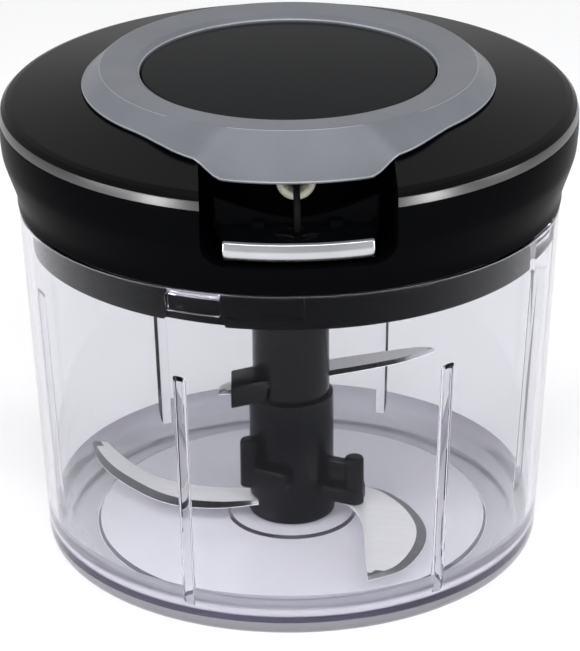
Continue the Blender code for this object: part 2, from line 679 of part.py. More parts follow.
def build_lid_housing(black):
    """Top shell of the lid: flared wall, sloping shoulder, handle recess and four screw posts."""
    outer = lid_outer_profile()
    housing = lathe("lid_housing", outer + [(0.0, SHOULDER_HEIGHT), (0.0, LID_LOW)], black, FINE_FACETS)

    below = LID_LOW - CUT_MARGIN
    bore_top = TOP_UNDERSIDE + TOP_BORE_DEPTH
    inner = [(LID_LIP_RADIUS, below), (LID_LIP_RADIUS, LID_LOW + LID_LIP_HEIGHT)]
    inner += [(radius - LID_WALL, height) for radius, height in outer[3:8]]
    inner += [(LID_RADIUS - LID_WALL * 1.7, RIM_HEIGHT), (SHOULDER_RADIUS, TOP_UNDERSIDE)]
    inner += [(BORE_RADIUS, TOP_UNDERSIDE), (BORE_RADIUS, bore_top), (0.0, bore_top), (0.0, below)]
    cavity = lathe("lid_cavity_tool", inner, black, FINE_FACETS)

    def add_walls(bm):
        add_recess(bm, RECESS_HALF_WIDTH + RECESS_WALL, RECESS_BACK_RADIUS - RECESS_WALL,
                   RECESS_FLOOR - RECESS_WALL, RECESS_CORNER)

    def add_opening(bm):
        add_recess(bm, RECESS_HALF_WIDTH, RECESS_BACK_RADIUS, RECESS_FLOOR, RECESS_CORNER)

    def add_posts(radius, low, high):
        def build(bm):
            for index in range(SCREW_COUNT):
                center = around(SCREW_CIRCLE_RADIUS, SCREW_DIRECTION + 360.0 * index / SCREW_COUNT)[:2]
                add_prism(bm, circle_outline(center, radius, SMALL_FACETS), low, high)
        return build

    pilot_top = BASE_PLATE_LOW + SCREW_LENGTH + SEAT_GAP
    combine(cavity, new_object("recess_wall_tool", add_walls, black))
    combine(cavity, new_object("screw_post_tool", add_posts(SCREW_POST_RADIUS, LID_LOW, RING_TOP), black))
    combine(housing, cavity)
    combine(housing, new_object("recess_tool", add_opening, black))
    pilot_radius = SCREW_SHANK_RADIUS + SEAT_GAP
    combine(housing, new_object("pilot_tool", add_posts(pilot_radius, below, pilot_top), black))

    neck_hole = circle_outline((0.0, CORD_HEIGHT), EYELET_NECK_RADIUS + SEAT_GAP, SMALL_FACETS)
    neck_start = RECESS_BACK_RADIUS - RECESS_WALL - CUT_MARGIN
    neck_end = RECESS_BACK_RADIUS + CUT_MARGIN
    combine(housing, prism("neck_tool", neck_hole, neck_start, neck_end, black, standing(90.0)))
    return housing


def build_screws(steel):
    """Four screws that hold the lid's base to its housing."""
    head_low = BASE_PLATE_LOW - SEAT_GAP - SCREW_HEAD_HEIGHT
    head_high = BASE_PLATE_LOW - SEAT_GAP
    tip = BASE_PLATE_LOW + SCREW_LENGTH
    profile = [(0.0, head_low), (SCREW_HEAD_RADIUS * 0.8, head_low)]
    profile += [(SCREW_HEAD_RADIUS, head_low + SCREW_HEAD_HEIGHT / 3), (SCREW_HEAD_RADIUS, head_high)]
    profile += [(SCREW_SHANK_RADIUS, head_high), (SCREW_SHANK_RADIUS, tip - SCREW_SHANK_RADIUS), (0.0, tip)]
    for index in range(SCREW_COUNT):
        screw = lathe(f"housing_screw_{index + 1}", profile, steel, SMALL_FACETS)
        screw.location = around(SCREW_CIRCLE_RADIUS, SCREW_DIRECTION + 360.0 * index / SCREW_COUNT) * MM


def front_share(direction, half_angle, blend):
    """Smooth share that is 1 at the front and falls to 0 at a half angle, over a blend."""
    offset = abs((direction + 180.0) % 360.0 - 180.0)
    t = min(max((half_angle - offset) / blend, 0.0), 1.0)
    return t * t * (3.0 - 2.0 * t)


def ring_profile(direction):
    """Open-bottomed section of the grey ring, drawn out and down into the visor at the front."""
    outer = RING_RADIUS + VISOR_REACH * front_share(direction, VISOR_REACH_ANGLE, VISOR_REACH_BLEND)
    drop = VISOR_DROP * front_share(direction, VISOR_DROP_ANGLE, VISOR_DROP_BLEND)
    foot_inner = outer - RING_WALL
    low = shoulder_level(foot_inner) + SEAT_GAP - drop
    ceiling = RING_TOP - RING_WALL
    inner_wall = RING_INNER_RADIUS + RING_WALL
    under_crest = RING_CREST_RADIUS - RING_WALL / 2
    points = [(outer - RING_FOOT_ROUND, low), (outer, low + RING_FOOT_ROUND)]
    points += [(RING_CREST_RADIUS + RING_CREST_ROUND, RING_TOP - RING_CREST_ROUND * 0.4)]
    points += [(RING_CREST_RADIUS - RING_CREST_ROUND, RING_TOP)]
    points += [(RING_INNER_RADIUS + RING_LIP_ROUND, RING_TOP - RING_LIP_ROUND / 2)]
    points += [(RING_INNER_RADIUS, RING_TOP - RING_LIP_ROUND * 1.2), (RING_INNER_RADIUS, RING_FOOT)]
    points += [(inner_wall, RING_FOOT), (inner_wall, ceiling - RING_WALL / 4), (under_crest, ceiling)]
    return points + [(foot_inner, low)]


def build_ring(grey):
    """Grey ring whose front swells into a visor over the handle's recess."""
    steps = math.ceil(VISOR_REACH_ANGLE / VISOR_FACET_ANGLE)
    directions = [VISOR_FACET_ANGLE * step for step in range(-steps, steps + 1)]
    reach = VISOR_FACET_ANGLE * steps
    rest = FINE_FACETS - round(2.0 * reach * FINE_FACETS / 360.0)
    directions += [reach + (360.0 - 2.0 * reach) * step / rest for step in range(1, rest)]
    return new_object("visor_ring", lambda bm: add_lathe(bm, ring_profile, directions), grey)


def build_cap(black):
    """Glossy cap disc inside the ring, slightly crowned."""
    round_off = CAP_CROWN / 2
    profile = [(0.0, RING_FOOT), (CAP_RADIUS, RING_FOOT), (CAP_RADIUS, CAP_EDGE_HEIGHT - round_off)]
    profile += [(CAP_RADIUS - round_off, CAP_EDGE_HEIGHT)]
    for share in (0.6, 0.0):
        profile.append((CAP_RADIUS * share, CAP_EDGE_HEIGHT + CAP_CROWN * (1.0 - share ** 2)))
    return lathe("cap_disc", profile, black, FINE_FACETS)


def build_eyelet(cream):
    """Flanged guide through the back wall of the recess, where the cord comes out."""
    front = RECESS_BACK_RADIUS + SEAT_GAP
    back = RECESS_BACK_RADIUS - RECESS_WALL - CUT_MARGIN
    bore = EYELET_BORE_RADIUS
    round_off = EYELET_FLANGE / 3
    profile = [(bore, back), (EYELET_NECK_RADIUS, back), (EYELET_NECK_RADIUS, front)]
    profile += [(EYELET_RADIUS, front), (EYELET_RADIUS, front + EYELET_FLANGE - round_off)]
    profile += [(EYELET_RADIUS - round_off, front + EYELET_FLANGE)]
    profile += [(bore + round_off, front + EYELET_FLANGE)]
    profile += [(bore, front + EYELET_FLANGE - round_off)]

    def build(bm):
        add_lathe(bm, lambda direction: profile, full_turn(MEDIUM_FACETS))
        bmesh.ops.rotate(bm, verts=bm.verts, matrix=Matrix.Rotation(math.radians(90.0), 3, "X"))
        bmesh.ops.translate(bm, verts=bm.verts, vec=(0.0, 0.0, CORD_HEIGHT))

    return new_object("cord_eyelet", build, cream)


def winding_points():
    """Points of the cord's turns on the reel, from the lowest up to where the cord leaves for the eyelet."""
    eyelet_distance = RECESS_BACK_RADIUS - RECESS_WALL
    leave = math.degrees(math.asin(CORD_DRUM_RADIUS / eyelet_distance))
    last = 180.0 + leave
    points = []
    count = CORD_TURN_COUNT * CORD_LOOP_FACETS
    for index in range(count + 1):
        turns_left = CORD_TURN_COUNT * (count - index) / count
        angle = math.radians(last - 360.0 * turns_left)
        height = CORD_HEIGHT - CORD_PITCH * turns_left
        across = CORD_DRUM_RADIUS * math.cos(angle)
        points.append(Vector((across, CORD_DRUM_RADIUS * math.sin(angle), height)))
    return points


def cord_points():
    """Route of the whole cord: its turns, the run to the eyelet and the drop to the handle."""
    winding = winding_points()
    start = winding[-1]
    entry = Vector((0.0, CORD_ENTRY_INSET + RECESS_WALL - RECESS_BACK_RADIUS, CORD_HEIGHT))
    exit_front = RECESS_BACK_RADIUS + SEAT_GAP + EYELET_FLANGE
    stand = HANDLE_TOP + CORD_STAND
    route = [start.lerp(entry, share) for share in (0.0, 0.35, 0.7)] + [entry]
    for way, fall in CORD_LEAD_CURVE:
        front = exit_front + (CORD_HOLE_FRONT - exit_front) * way
        route.append(Vector((0.0, -front, CORD_HEIGHT + (stand - CORD_HEIGHT) * fall)))
    route.append(CORD_END)
    lead = smooth_curve(route, 3)
    return winding + lead[1:]


def least_self_gap(points):
    """Least gap between turns of the winding, from the distances between its points."""
    reach = CORD_LOOP_FACETS // 2
    least = min((points[first] - points[second]).length
                for first in range(len(points)) for second in range(first + reach, len(points)))
    return least - 2 * CORD_RADIUS


def build_cord(black):
    """One unbroken cord, wound on the reel and led through the eyelet to the handle."""
    points = cord_points()
    curve = bpy.data.curves.new("pull_cord", "CURVE")
    curve.dimensions = "3D"
    curve.bevel_depth = CORD_RADIUS * MM
    curve.bevel_resolution = 1
    curve.use_fill_caps = True
    spline = curve.splines.new("POLY")
    spline.points.add(len(points) - 1)
    for point, place_on in zip(spline.points, points):
        point.co = (*(place_on * MM), 1.0)
    curve.materials.append(black)
    cord = bpy.data.objects.new("pull_cord", curve)
    bpy.context.scene.collection.objects.link(cord)
    print(f"pull cord: least gap between turns {least_self_gap(winding_points()):.2f} mm")
    return cord


def build_reel(white):
    """Cord reel: a grooved drum with a toothed clutch ring below it."""
    core = REEL_CORE_RADIUS
    flange = REEL_FLANGE_RADIUS
    web = REEL_LOW - REEL_WEB_STEP
    profile = [(BORE_RADIUS, web), (RATCHET_INNER_RADIUS, web), (RATCHET_INNER_RADIUS, RATCHET_LOW),
               (RATCHET_RADIUS, RATCHET_LOW), (RATCHET_RADIUS, REEL_LOW), (flange, REEL_LOW),
               (flange, REEL_GROOVE_LOW), (core, REEL_GROOVE_LOW), (core, REEL_GROOVE_TOP),
               (flange, REEL_GROOVE_TOP), (flange, REEL_TOP), (BORE_RADIUS, REEL_TOP)]
    reel = lathe("cord_reel", profile, white, 2 * SMALL_FACETS)

    def add_teeth(bm):
        outer = RATCHET_INNER_RADIUS + RATCHET_WALL / 2
        tip = RATCHET_INNER_RADIUS - RATCHET_TOOTH_DEPTH
        for index in range(RATCHET_COUNT):
            middle = 360.0 * index / RATCHET_COUNT
            outline = [around(outer, middle + side * TOOTH_ROOT_ANGLE)[:2] for side in (-1.0, 1.0)]
            outline += [around(tip, middle + angle)[:2] for angle in (TOOTH_FACE_ANGLE, TOOTH_TIP_ANGLE)]
            add_prism(bm, outline, RATCHET_LOW + RUNNING_GAP, web + RUNNING_GAP)

    combine(reel, new_object("clutch_tooth_tool", add_teeth, white), "UNION")
    return reel


def build_drive_shaft(steel):
    """Shaft with the disc that carries the clutch pawls."""
    profile = [(0.0, SHAFT_LOW), (SHAFT_RADIUS, SHAFT_LOW), (SHAFT_RADIUS, DRIVE_DISC_LOW),
               (DRIVE_DISC_RADIUS, DRIVE_DISC_LOW), (DRIVE_DISC_RADIUS, DRIVE_DISC_TOP),
               (SHAFT_RADIUS, DRIVE_DISC_TOP), (SHAFT_RADIUS, SHAFT_TOP), (0.0, SHAFT_TOP)]
    shaft = lathe("drive_shaft", profile, steel, SMALL_FACETS)

    def add_pin_holes(bm):
        for side in (1.0, -1.0):
            center = (side * PAWL_PIVOT_RADIUS, 0.0)
            outline = circle_outline(center, PAWL_PIN_RADIUS + SEAT_GAP, SMALL_FACETS)
            add_prism(bm, outline, DRIVE_DISC_LOW - CUT_MARGIN, DRIVE_DISC_TOP + CUT_MARGIN)

    combine(shaft, new_object("pawl_pin_hole_tool", add_pin_holes, steel))
    return shaft


def build_pawls(white, steel):
    """Two clutch pawls on their pins. Each reaches into the toothed ring of the reel."""
    low = PAWL_LOW
    high = PAWL_LOW + PAWL_HEIGHT
    for index, side in enumerate((1.0, -1.0)):
        name = f"clutch_pawl_{index + 1}"
        outline = arc_points((0.0, 0.0), PAWL_EYE_RADIUS, 0.0, 180.0, 6)
        outline += [(-PAWL_EYE_RADIUS * 0.9, -PAWL_REACH * 0.23)]
        outline += [(-PAWL_EYE_RADIUS * 0.16, -PAWL_REACH * 0.62)]
        outline += [(PAWL_TIP_OFFSET - PAWL_NOSE, -PAWL_REACH * 0.97), (PAWL_TIP_OFFSET, -PAWL_REACH)]
        outline += [(PAWL_TIP_OFFSET + PAWL_CHEEK, -PAWL_REACH * 0.75)]
        outline += [(PAWL_EYE_RADIUS * 1.05, -PAWL_REACH * 0.43)]
        pawl = prism(name, outline, low, high, white)
        bore = circle_outline((0.0, 0.0), PAWL_PIN_RADIUS + SEAT_GAP, SMALL_FACETS)
        bore_tool = prism(f"{name}_bore_tool", bore, low - CUT_MARGIN, high + CUT_MARGIN, white)
        combine(pawl, bore_tool)
        turn = Matrix.Rotation(0.0 if side > 0 else math.pi, 4, "Z")
        for piece in (pawl, bore_tool):
            piece.matrix_world = turn @ Matrix.Translation((PAWL_PIVOT_RADIUS * MM, 0.0, 0.0))
        pin_top = high + SEAT_GAP
        pin_profile = [(0.0, DRIVE_DISC_LOW), (PAWL_PIN_RADIUS, DRIVE_DISC_LOW), (PAWL_PIN_RADIUS, pin_top)]
        pin = lathe(f"pawl_pin_{index + 1}", pin_profile + [(0.0, pin_top)], steel, SMALL_FACETS)
        pin.location = (side * PAWL_PIVOT_RADIUS * MM, 0.0, 0.0)


def build_drive_dog(black):
    """Two-finned dog on the shaft's lower end, which drives the knife column's socket."""
    hub_floor = SHAFT_LOW - SEAT_GAP
    profile = [(0.0, DOG_LOW), (DOG_HUB_RADIUS, DOG_LOW), (DOG_HUB_RADIUS, DOG_TOP), (BORE_RADIUS, DOG_TOP),
               (BORE_RADIUS, hub_floor), (0.0, hub_floor)]
    dog = lathe("drive_dog", profile, black, SMALL_FACETS)

    def add_fins(bm):
        fin_start = (BORE_RADIUS + DOG_HUB_RADIUS) / 2
        fin = block_outline(DOG_FIN_RADIUS - fin_start, DOG_FIN_THICKNESS)
        for direction in (90.0, 270.0):
            stand = place((DOG_FIN_RADIUS + fin_start) / 2, direction)
            add_prism(bm, fin, DOG_LOW + RUNNING_GAP, COLUMN_TOP - RUNNING_GAP, stand)

    combine(dog, new_object("dog_fin_tool", add_fins, black), "UNION")
    return dog


def build_bush(brass):
    """Flanged bush that carries the shaft in the lid's base."""
    low = BASE_PLATE_LOW - SEAT_GAP / 2
    flange = BUSH_RADIUS + BUSH_FLANGE_WIDTH
    profile = [(BORE_RADIUS, low), (BUSH_RADIUS, low), (BUSH_RADIUS, CUP_LOW), (flange, CUP_LOW),
               (flange, BUSH_TOP), (BORE_RADIUS, BUSH_TOP)]
    return lathe("shaft_bush", profile, brass, MEDIUM_FACETS)


def build_spring_cup(steel):
    """Open cup on the lid's base that holds the recoil spring."""
    hole = BUSH_RADIUS + BUSH_FLANGE_WIDTH + SEAT_GAP
    inner = CUP_RADIUS - CUP_WALL
    profile = [(hole, CUP_LOW), (CUP_RADIUS, CUP_LOW), (CUP_RADIUS, REEL_LOW), (inner, REEL_LOW),
               (inner, CUP_LOW + CUP_FLOOR), (hole, CUP_LOW + CUP_FLOOR)]
    return lathe("spring_cup", profile, steel, MEDIUM_FACETS)


def build_recoil_spring(steel):
    """Flat spiral spring between the reel's clutch ring and the cup's wall."""
    inner = RATCHET_RADIUS + SEAT_GAP + SPRING_STRIP / 2
    outer = CUP_RADIUS - CUP_WALL - SEAT_GAP - SPRING_STRIP / 2
    count = SPRING_LOOP_COUNT * SPRING_LOOP_FACETS

    def build(bm):
        rows = []
        for index in range(count + 1):
            direction = 360.0 * SPRING_LOOP_COUNT * index / count
            middle = inner + (outer - inner) * index / count
            near, far = middle - SPRING_STRIP / 2, middle + SPRING_STRIP / 2
            section = ((near, SPRING_LOW), (far, SPRING_LOW), (far, SPRING_HIGH), (near, SPRING_HIGH))
            corners = [bm.verts.new(around(radius, direction, height)) for radius, height in section]
            rows.append(corners)
        for row, following in zip(rows, rows[1:]):
            for index in range(4):
                after = (index + 1) % 4
                bm.faces.new((row[index], row[after], following[after], following[index]))
        bm.faces.new(rows[0])
        bm.faces.new(rows[-1])

    pitch = (outer - inner) / SPRING_LOOP_COUNT
    print(f"recoil spring: least gap between loops {pitch - SPRING_STRIP:.2f} mm")
    return new_object("recoil_spring", build, steel)


def blade_outline(curved, straight=()):
    """Plan of a blade from points that a smooth curve runs through and corners that stay sharp."""
    return [(point[0], point[1]) for point in smooth_curve(curved, 2)] + list(straight)


def side_blade_outline():
    """Plan of the long lower blade on the left: convex leading edge, upswept tip."""
    return blade_outline(SIDE_BLADE_EDGE) + blade_outline(SIDE_BLADE_BACK)[1:]


def front_blade_outline():
    """Plan of the half-moon lower blade on the right: straight back, round leading edge."""
    return blade_outline(FRONT_BLADE_EDGE, FRONT_BLADE_BACK)


def upper_blade_outline():
    """Plan of the straight blade that passes through the column, with a pointed tail."""
    return blade_outline(UPPER_BLADE_BACK) + blade_outline(UPPER_BLADE_EDGE, [UPPER_BLADE_TAIL])[1:]


def blade(name, outline, height, steel, sweep=0.0):
    """Flat blade with a ground edge, which may sweep up towards its tip."""
    center = sum((Vector(point) for point in outline), Vector((0.0, 0.0))) / len(outline)
    levels = ((0.0, 0.0), (BLADE_THICKNESS * BLADE_EDGE_SHARE, 0.0), (BLADE_THICKNESS, BLADE_GROUND_SHARE))

    def swept(flat):
        share = (flat.length - SIDE_BLADE_SWEEP_START) / (SIDE_BLADE_SWEEP_END - SIDE_BLADE_SWEEP_START)
        return sweep * min(max(share, 0.0), 1.0) ** 2

    def build(bm):
        rows = []
        for level, inset in levels:
            row = []
            for point in outline:
                flat = Vector(point).lerp(center, inset)
                row.append(bm.verts.new((flat[0], flat[1], height + level + swept(flat))))
            rows.append(row)
        for row, following in zip(rows, rows[1:]):
            for index in range(len(outline)):
                after = (index + 1) % len(outline)
                bm.faces.new((row[index], row[after], following[after], following[index]))
        bm.faces.new(rows[0])
        bm.faces.new(rows[-1])
        bmesh.ops.triangulate(bm, faces=bm.faces)

    return new_object(name, build, steel, 20.0)


def grown(outline, margin):
    """Outline moved outward by a margin along its corners' normals."""
    points = [Vector(point) for point in outline]
    area = sum(a[0] * b[1] - a[1] * b[0] for a, b in zip(points, points[1:] + points[:1]))
    side = 1.0 if area > 0 else -1.0
    moved = []
    for before, point, after in zip(points[-1:] + points[:-1], points, points[1:] + points[:1]):
        first = (point - before).normalized()
        second = (after - point).normalized()
        normal = Vector((first[1] + second[1], -first[0] - second[0])).normalized() * side
        half_cosine = max(0.5, normal.dot(Vector((first[1], -first[0])) * side))
        moved.append(tuple(point + normal * margin / half_cosine))
    return moved


def build_lower_column(black):
    """Lower part of the column: turns on the spindle and holds the two low blades."""
    bore = SPINDLE_RADIUS + SEAT_GAP
    bore_top = SPINDLE_TOP + SEAT_GAP
    split_low = COLUMN_SPLIT - SEAT_GAP
    socket = SPIGOT_RADIUS + SEAT_GAP
    socket_low = COLUMN_SPLIT - SPIGOT_LENGTH - SEAT_GAP
    bulge = COLUMN_LOW_RADIUS + COLUMN_FOOT_BULGE
    profile = [(bore, COLUMN_LOW), (bulge - COLUMN_FOOT_EDGE, COLUMN_LOW)]
    profile += [(bulge, COLUMN_LOW + COLUMN_FOOT_EDGE), (COLUMN_LOW_RADIUS, COLUMN_LOW + COLUMN_FOOT_HEIGHT)]
    profile += [(COLUMN_LOW_RADIUS, split_low - COLUMN_EDGE), (COLUMN_LOW_RADIUS - COLUMN_EDGE, split_low)]
    profile += [(socket, split_low), (socket, socket_low), (0.0, socket_low)]
    profile += [(0.0, bore_top), (bore, bore_top)]
    lower = lathe("knife_column_lower", profile, black, MEDIUM_FACETS)

    left_top = LEFT_HOLDER_LOW + LEFT_HOLDER_HEIGHT
    right_top = RIGHT_HOLDER_LOW + RIGHT_HOLDER_HEIGHT

    def add_left_holder(bm):
        middle = LEFT_HOLDER_REACH - LEFT_HOLDER_LENGTH / 2
        block = block_outline(LEFT_HOLDER_LENGTH, LEFT_HOLDER_WIDTH)
        add_prism(bm, block, LEFT_HOLDER_LOW, left_top, place(middle, LEFT_HOLDER_DIRECTION))

    def add_left_post(bm):
        center = place(LEFT_POST_REACH, LEFT_HOLDER_DIRECTION, LEFT_POST_SHIFT).translation
        add_post(bm, center, LEFT_HOLDER_LOW - FUSE_STEP, left_top + LEFT_POST_HEIGHT)

    def add_right_holder(bm):
        middle = RIGHT_HOLDER_REACH - RIGHT_HOLDER_LENGTH / 2
        block = block_outline(RIGHT_HOLDER_LENGTH, RIGHT_HOLDER_WIDTH)
        add_prism(bm, block, RIGHT_HOLDER_LOW, right_top, place(middle, RIGHT_HOLDER_DIRECTION))

    def add_right_web(bm):
        middle = RIGHT_WEB_REACH - RIGHT_WEB_LENGTH / 2
        block = block_outline(RIGHT_WEB_LENGTH, RIGHT_WEB_WIDTH)
        top = right_top + RIGHT_WEB_HEIGHT
        add_prism(bm, block, right_top - FUSE_STEP, top, place(middle, RIGHT_HOLDER_DIRECTION))

    def add_right_post(bm):
        center = place(RIGHT_POST_REACH, RIGHT_HOLDER_DIRECTION).translation
        add_post(bm, center, RIGHT_HOLDER_LOW - FUSE_STEP, right_top + RIGHT_POST_HEIGHT)

    for part_name, builder in (("left_holder_tool", add_left_holder), ("left_post_tool", add_left_post),
                               ("right_holder_tool", add_right_holder), ("right_web_tool", add_right_web),
                               ("right_post_tool", add_right_post)):
        combine(lower, new_object(part_name, builder, black), "UNION")
    cut_slot(lower, "side_slot_tool", side_blade_outline(), LOW_BLADE_HEIGHT, black)
    cut_slot(lower, "front_slot_tool", front_blade_outline(), LOW_BLADE_HEIGHT, black)


def build_upper_column(black):
    """Upper part of the column: plugs into the lower one, with a socket for the drive's dog."""
    edge_radius = COLUMN_HIGH_RADIUS - COLUMN_EDGE
    spigot_low = COLUMN_SPLIT - SPIGOT_LENGTH
    profile = [(0.0, spigot_low), (SPIGOT_RADIUS, spigot_low), (SPIGOT_RADIUS, COLUMN_SPLIT)]
    profile += [(COLUMN_HIGH_RADIUS, COLUMN_SPLIT), (COLUMN_HIGH_RADIUS, COLUMN_TOP - COLUMN_EDGE)]
    profile += [(edge_radius, COLUMN_TOP), (SOCKET_RADIUS, COLUMN_TOP)]
    profile += [(SOCKET_RADIUS, SOCKET_FLOOR), (0.0, SOCKET_FLOOR)]
    upper = lathe("knife_column_upper", profile, black, MEDIUM_FACETS)

    def add_wedge(bm):
        top = UPPER_BLADE_HEIGHT + BLADE_THICKNESS + WEDGE_COVER
        add_prism(bm, WEDGE_OUTLINE, COLUMN_SPLIT + WEDGE_RISE, top)

    def add_keys(bm):
        length = SOCKET_RADIUS + CUT_MARGIN - SOCKET_KEY_RADIUS
        key = block_outline(length, SOCKET_KEY_THICKNESS)
        for direction in (SOCKET_KEY_DIRECTION, SOCKET_KEY_DIRECTION + 180.0):
            stand = place(SOCKET_KEY_RADIUS + length / 2, direction)
            add_prism(bm, key, SOCKET_FLOOR - RUNNING_GAP, COLUMN_TOP - RUNNING_GAP, stand)

    combine(upper, new_object("wedge_tool", add_wedge, black), "UNION")
    combine(upper, new_object("socket_key_tool", add_keys, black), "UNION")
    cut_slot(upper, "upper_slot_tool", upper_blade_outline(), UPPER_BLADE_HEIGHT, black)


def cut_slot(column, name, outline, height, black):
    """Cuts the slot that a blade sits in, with a gap all round it."""
    slot = grown(outline, SEAT_GAP)
    combine(column, prism(name, slot, height - SEAT_GAP, height + BLADE_THICKNESS + SEAT_GAP, black))


def build_blades(steel):
    """The three blades in their slots."""
    blade("blade_side", side_blade_outline(), LOW_BLADE_HEIGHT, steel, SIDE_BLADE_SWEEP)
    blade("blade_front", front_blade_outline(), LOW_BLADE_HEIGHT, steel)
    blade("blade_upper", upper_blade_outline(), UPPER_BLADE_HEIGHT, steel)


def add_post(bm, center, low, high):
    """Round post with a domed top."""
    levels = [(HOLDER_POST_RADIUS, low), (HOLDER_POST_RADIUS, high - POST_DOME)]
    levels.append((HOLDER_POST_RADIUS * 0.75, high - POST_DOME * 0.3))
    start = len(bm.verts)
    add_lathe(bm, lambda direction: [(0.0, low)] + levels + [(0.0, high)], full_turn(SMALL_FACETS))
    bm.verts.ensure_lookup_table()
    bmesh.ops.translate(bm, verts=bm.verts[start:], vec=(center[0], center[1], 0.0))


def handle_outline(front_radius, half_width, rear, rear_half_width, steps=8):
    """Plan of the handle's plate: curved front, wider rear."""
    reach = math.degrees(math.asin(half_width / front_radius))
    outline = [around(front_radius, reach * (2.0 * step / steps - 1.0))[:2] for step in range(steps + 1)]
    side = rear + HANDLE_REAR_LENGTH
    outline += [(rear_half_width, -side), (rear_half_width, -rear)]
    return outline + [(-rear_half_width, -rear), (-rear_half_width, -side)]


def build_handle(black):
    """Pull handle: plate, front web, scooped rear wall and two small tabs."""
    plate_low = HANDLE_TOP - HANDLE_PLATE
    outline = handle_outline(HANDLE_FRONT_RADIUS, HANDLE_HALF_WIDTH, HANDLE_REAR, HANDLE_REAR_HALF_WIDTH)
    handle = prism("pull_handle", outline, plate_low, HANDLE_TOP, black)

    def add_web(bm):
        reach = math.degrees(math.asin(HANDLE_HALF_WIDTH / HANDLE_FRONT_RADIUS)) - HANDLE_WEB_END_ANGLE
        inner = HANDLE_FRONT_RADIUS - HANDLE_WEB
        outline = sector_outline(inner, HANDLE_FRONT_RADIUS - FUSE_INSET, -reach, reach, 6)
        add_prism(bm, outline, HANDLE_LOW, HANDLE_TOP - FUSE_STEP)

    def add_rear_wall(bm):
        half = HANDLE_REAR_HALF_WIDTH - HANDLE_WALL_INSET
        foot = HANDLE_REAR_HALF_WIDTH - HANDLE_FOOT_CHAMFER
        dip = HANDLE_TOP + HANDLE_WALL_DIP
        shares = [1.0 - step / 4 for step in range(9)]
        outline = [(share * half, dip + HANDLE_WALL_RISE * abs(share) ** 1.5) for share in shares]
        outline += [(-half, HANDLE_LOW + HANDLE_FOOT_CHAMFER), (-foot, HANDLE_LOW)]
        outline += [(foot, HANDLE_LOW), (half, HANDLE_LOW + HANDLE_FOOT_CHAMFER)]
        add_prism(bm, outline, HANDLE_REAR + FUSE_INSET, HANDLE_REAR + HANDLE_WALL, standing(90.0))

    def add_tabs(bm):
        for side in (1.0, -1.0):
            shift = Matrix.Translation((side * TAB_OFFSET, -HANDLE_REAR - TAB_SETBACK, 0.0))
            tab = block_outline(TAB_LENGTH, TAB_WIDTH)
            add_prism(bm, tab, HANDLE_TOP - 2 * FUSE_STEP, HANDLE_TOP + TAB_HEIGHT, shift)

    def add_boss(bm):
        outline = circle_outline((0.0, -CORD_HOLE_FRONT), CRIMP_RADIUS + BOSS_WALL, SMALL_FACETS)
        add_prism(bm, outline, HANDLE_LOW, HANDLE_TOP - FUSE_STEP)

    combine(handle, new_object("handle_web_tool", add_web, black), "UNION")
    combine(handle, new_object("handle_wall_tool", add_rear_wall, black), "UNION")
    combine(handle, new_object("handle_tab_tool", add_tabs, black), "UNION")
    combine(handle, new_object("handle_boss_tool", add_boss, black), "UNION")
    hole = circle_outline((0.0, -CORD_HOLE_FRONT), CORD_RADIUS + SEAT_GAP, SMALL_FACETS)
    below = HANDLE_LOW - CUT_MARGIN
    combine(handle, prism("cord_hole_tool", hole, below, HANDLE_TOP + CUT_MARGIN, black))
    pocket = circle_outline((0.0, -CORD_HOLE_FRONT), CRIMP_RADIUS + SEAT_GAP, SMALL_FACETS)
    combine(handle, prism("crimp_pocket_tool", pocket, below, plate_low - SEAT_GAP, black))
    return handle


def build_handle_trim(chrome):
    """Bright bar along the handle's front, rounded in section."""
    inner = HANDLE_FRONT_RADIUS + SEAT_GAP
    middle = inner + TRIM_THICKNESS / 2
    half = TRIM_HEIGHT / 2
    center_height = HANDLE_TOP + TRIM_PROUD - half
    reach = math.degrees(math.asin(HANDLE_HALF_WIDTH / middle))

    def build(bm):
        rows = []
        for step in range(TRIM_STEPS + 1):
            end_scale = TRIM_END_SCALE if step in (0, TRIM_STEPS) else 1.0
            direction = reach * (2.0 * step / TRIM_STEPS - 1.0)
            row = []
            for facet in range(TRIM_FACETS):
                angle = math.radians(360.0 * facet / TRIM_FACETS)
                radius = middle + TRIM_THICKNESS / 2 * squared(math.cos(angle)) * end_scale
                height = center_height + half * squared(math.sin(angle)) * end_scale
                row.append(bm.verts.new(around(radius, direction, height)))
            rows.append(row)
        for row, following in zip(rows, rows[1:]):
            for facet in range(TRIM_FACETS):
                after = (facet + 1) % TRIM_FACETS
                bm.faces.new((row[facet], row[after], following[after], following[facet]))
        bm.faces.new(rows[0])
        bm.faces.new(rows[-1])

    return new_object("handle_trim", build, chrome, 60.0)


def squared(value):
    """Rounds a circle's coordinate towards a square, which keeps the corners soft."""
    return math.copysign(abs(value) ** 0.6, value)


def build_crimp(steel):
    """Crimp that holds the cord's end under the handle's plate."""
    top = HANDLE_TOP - HANDLE_PLATE - 2 * SEAT_GAP
    low = top - CRIMP_HEIGHT
    edge = CRIMP_RADIUS - CRIMP_EDGE
    profile = [(0.0, low), (edge, low), (CRIMP_RADIUS, low + CRIMP_EDGE), (CRIMP_RADIUS, top - CRIMP_EDGE)]
    profile += [(edge, top), (0.0, top)]
    crimp = lathe("cord_crimp", profile, steel, SMALL_FACETS)
    crimp.location = (0.0, -CORD_HOLE_FRONT * MM, 0.0)
    return crimp


def clear_scene():
    """Removes every object that the file starts with."""
    for existing in list(bpy.data.objects):
        bpy.data.objects.remove(existing, do_unlink=True)


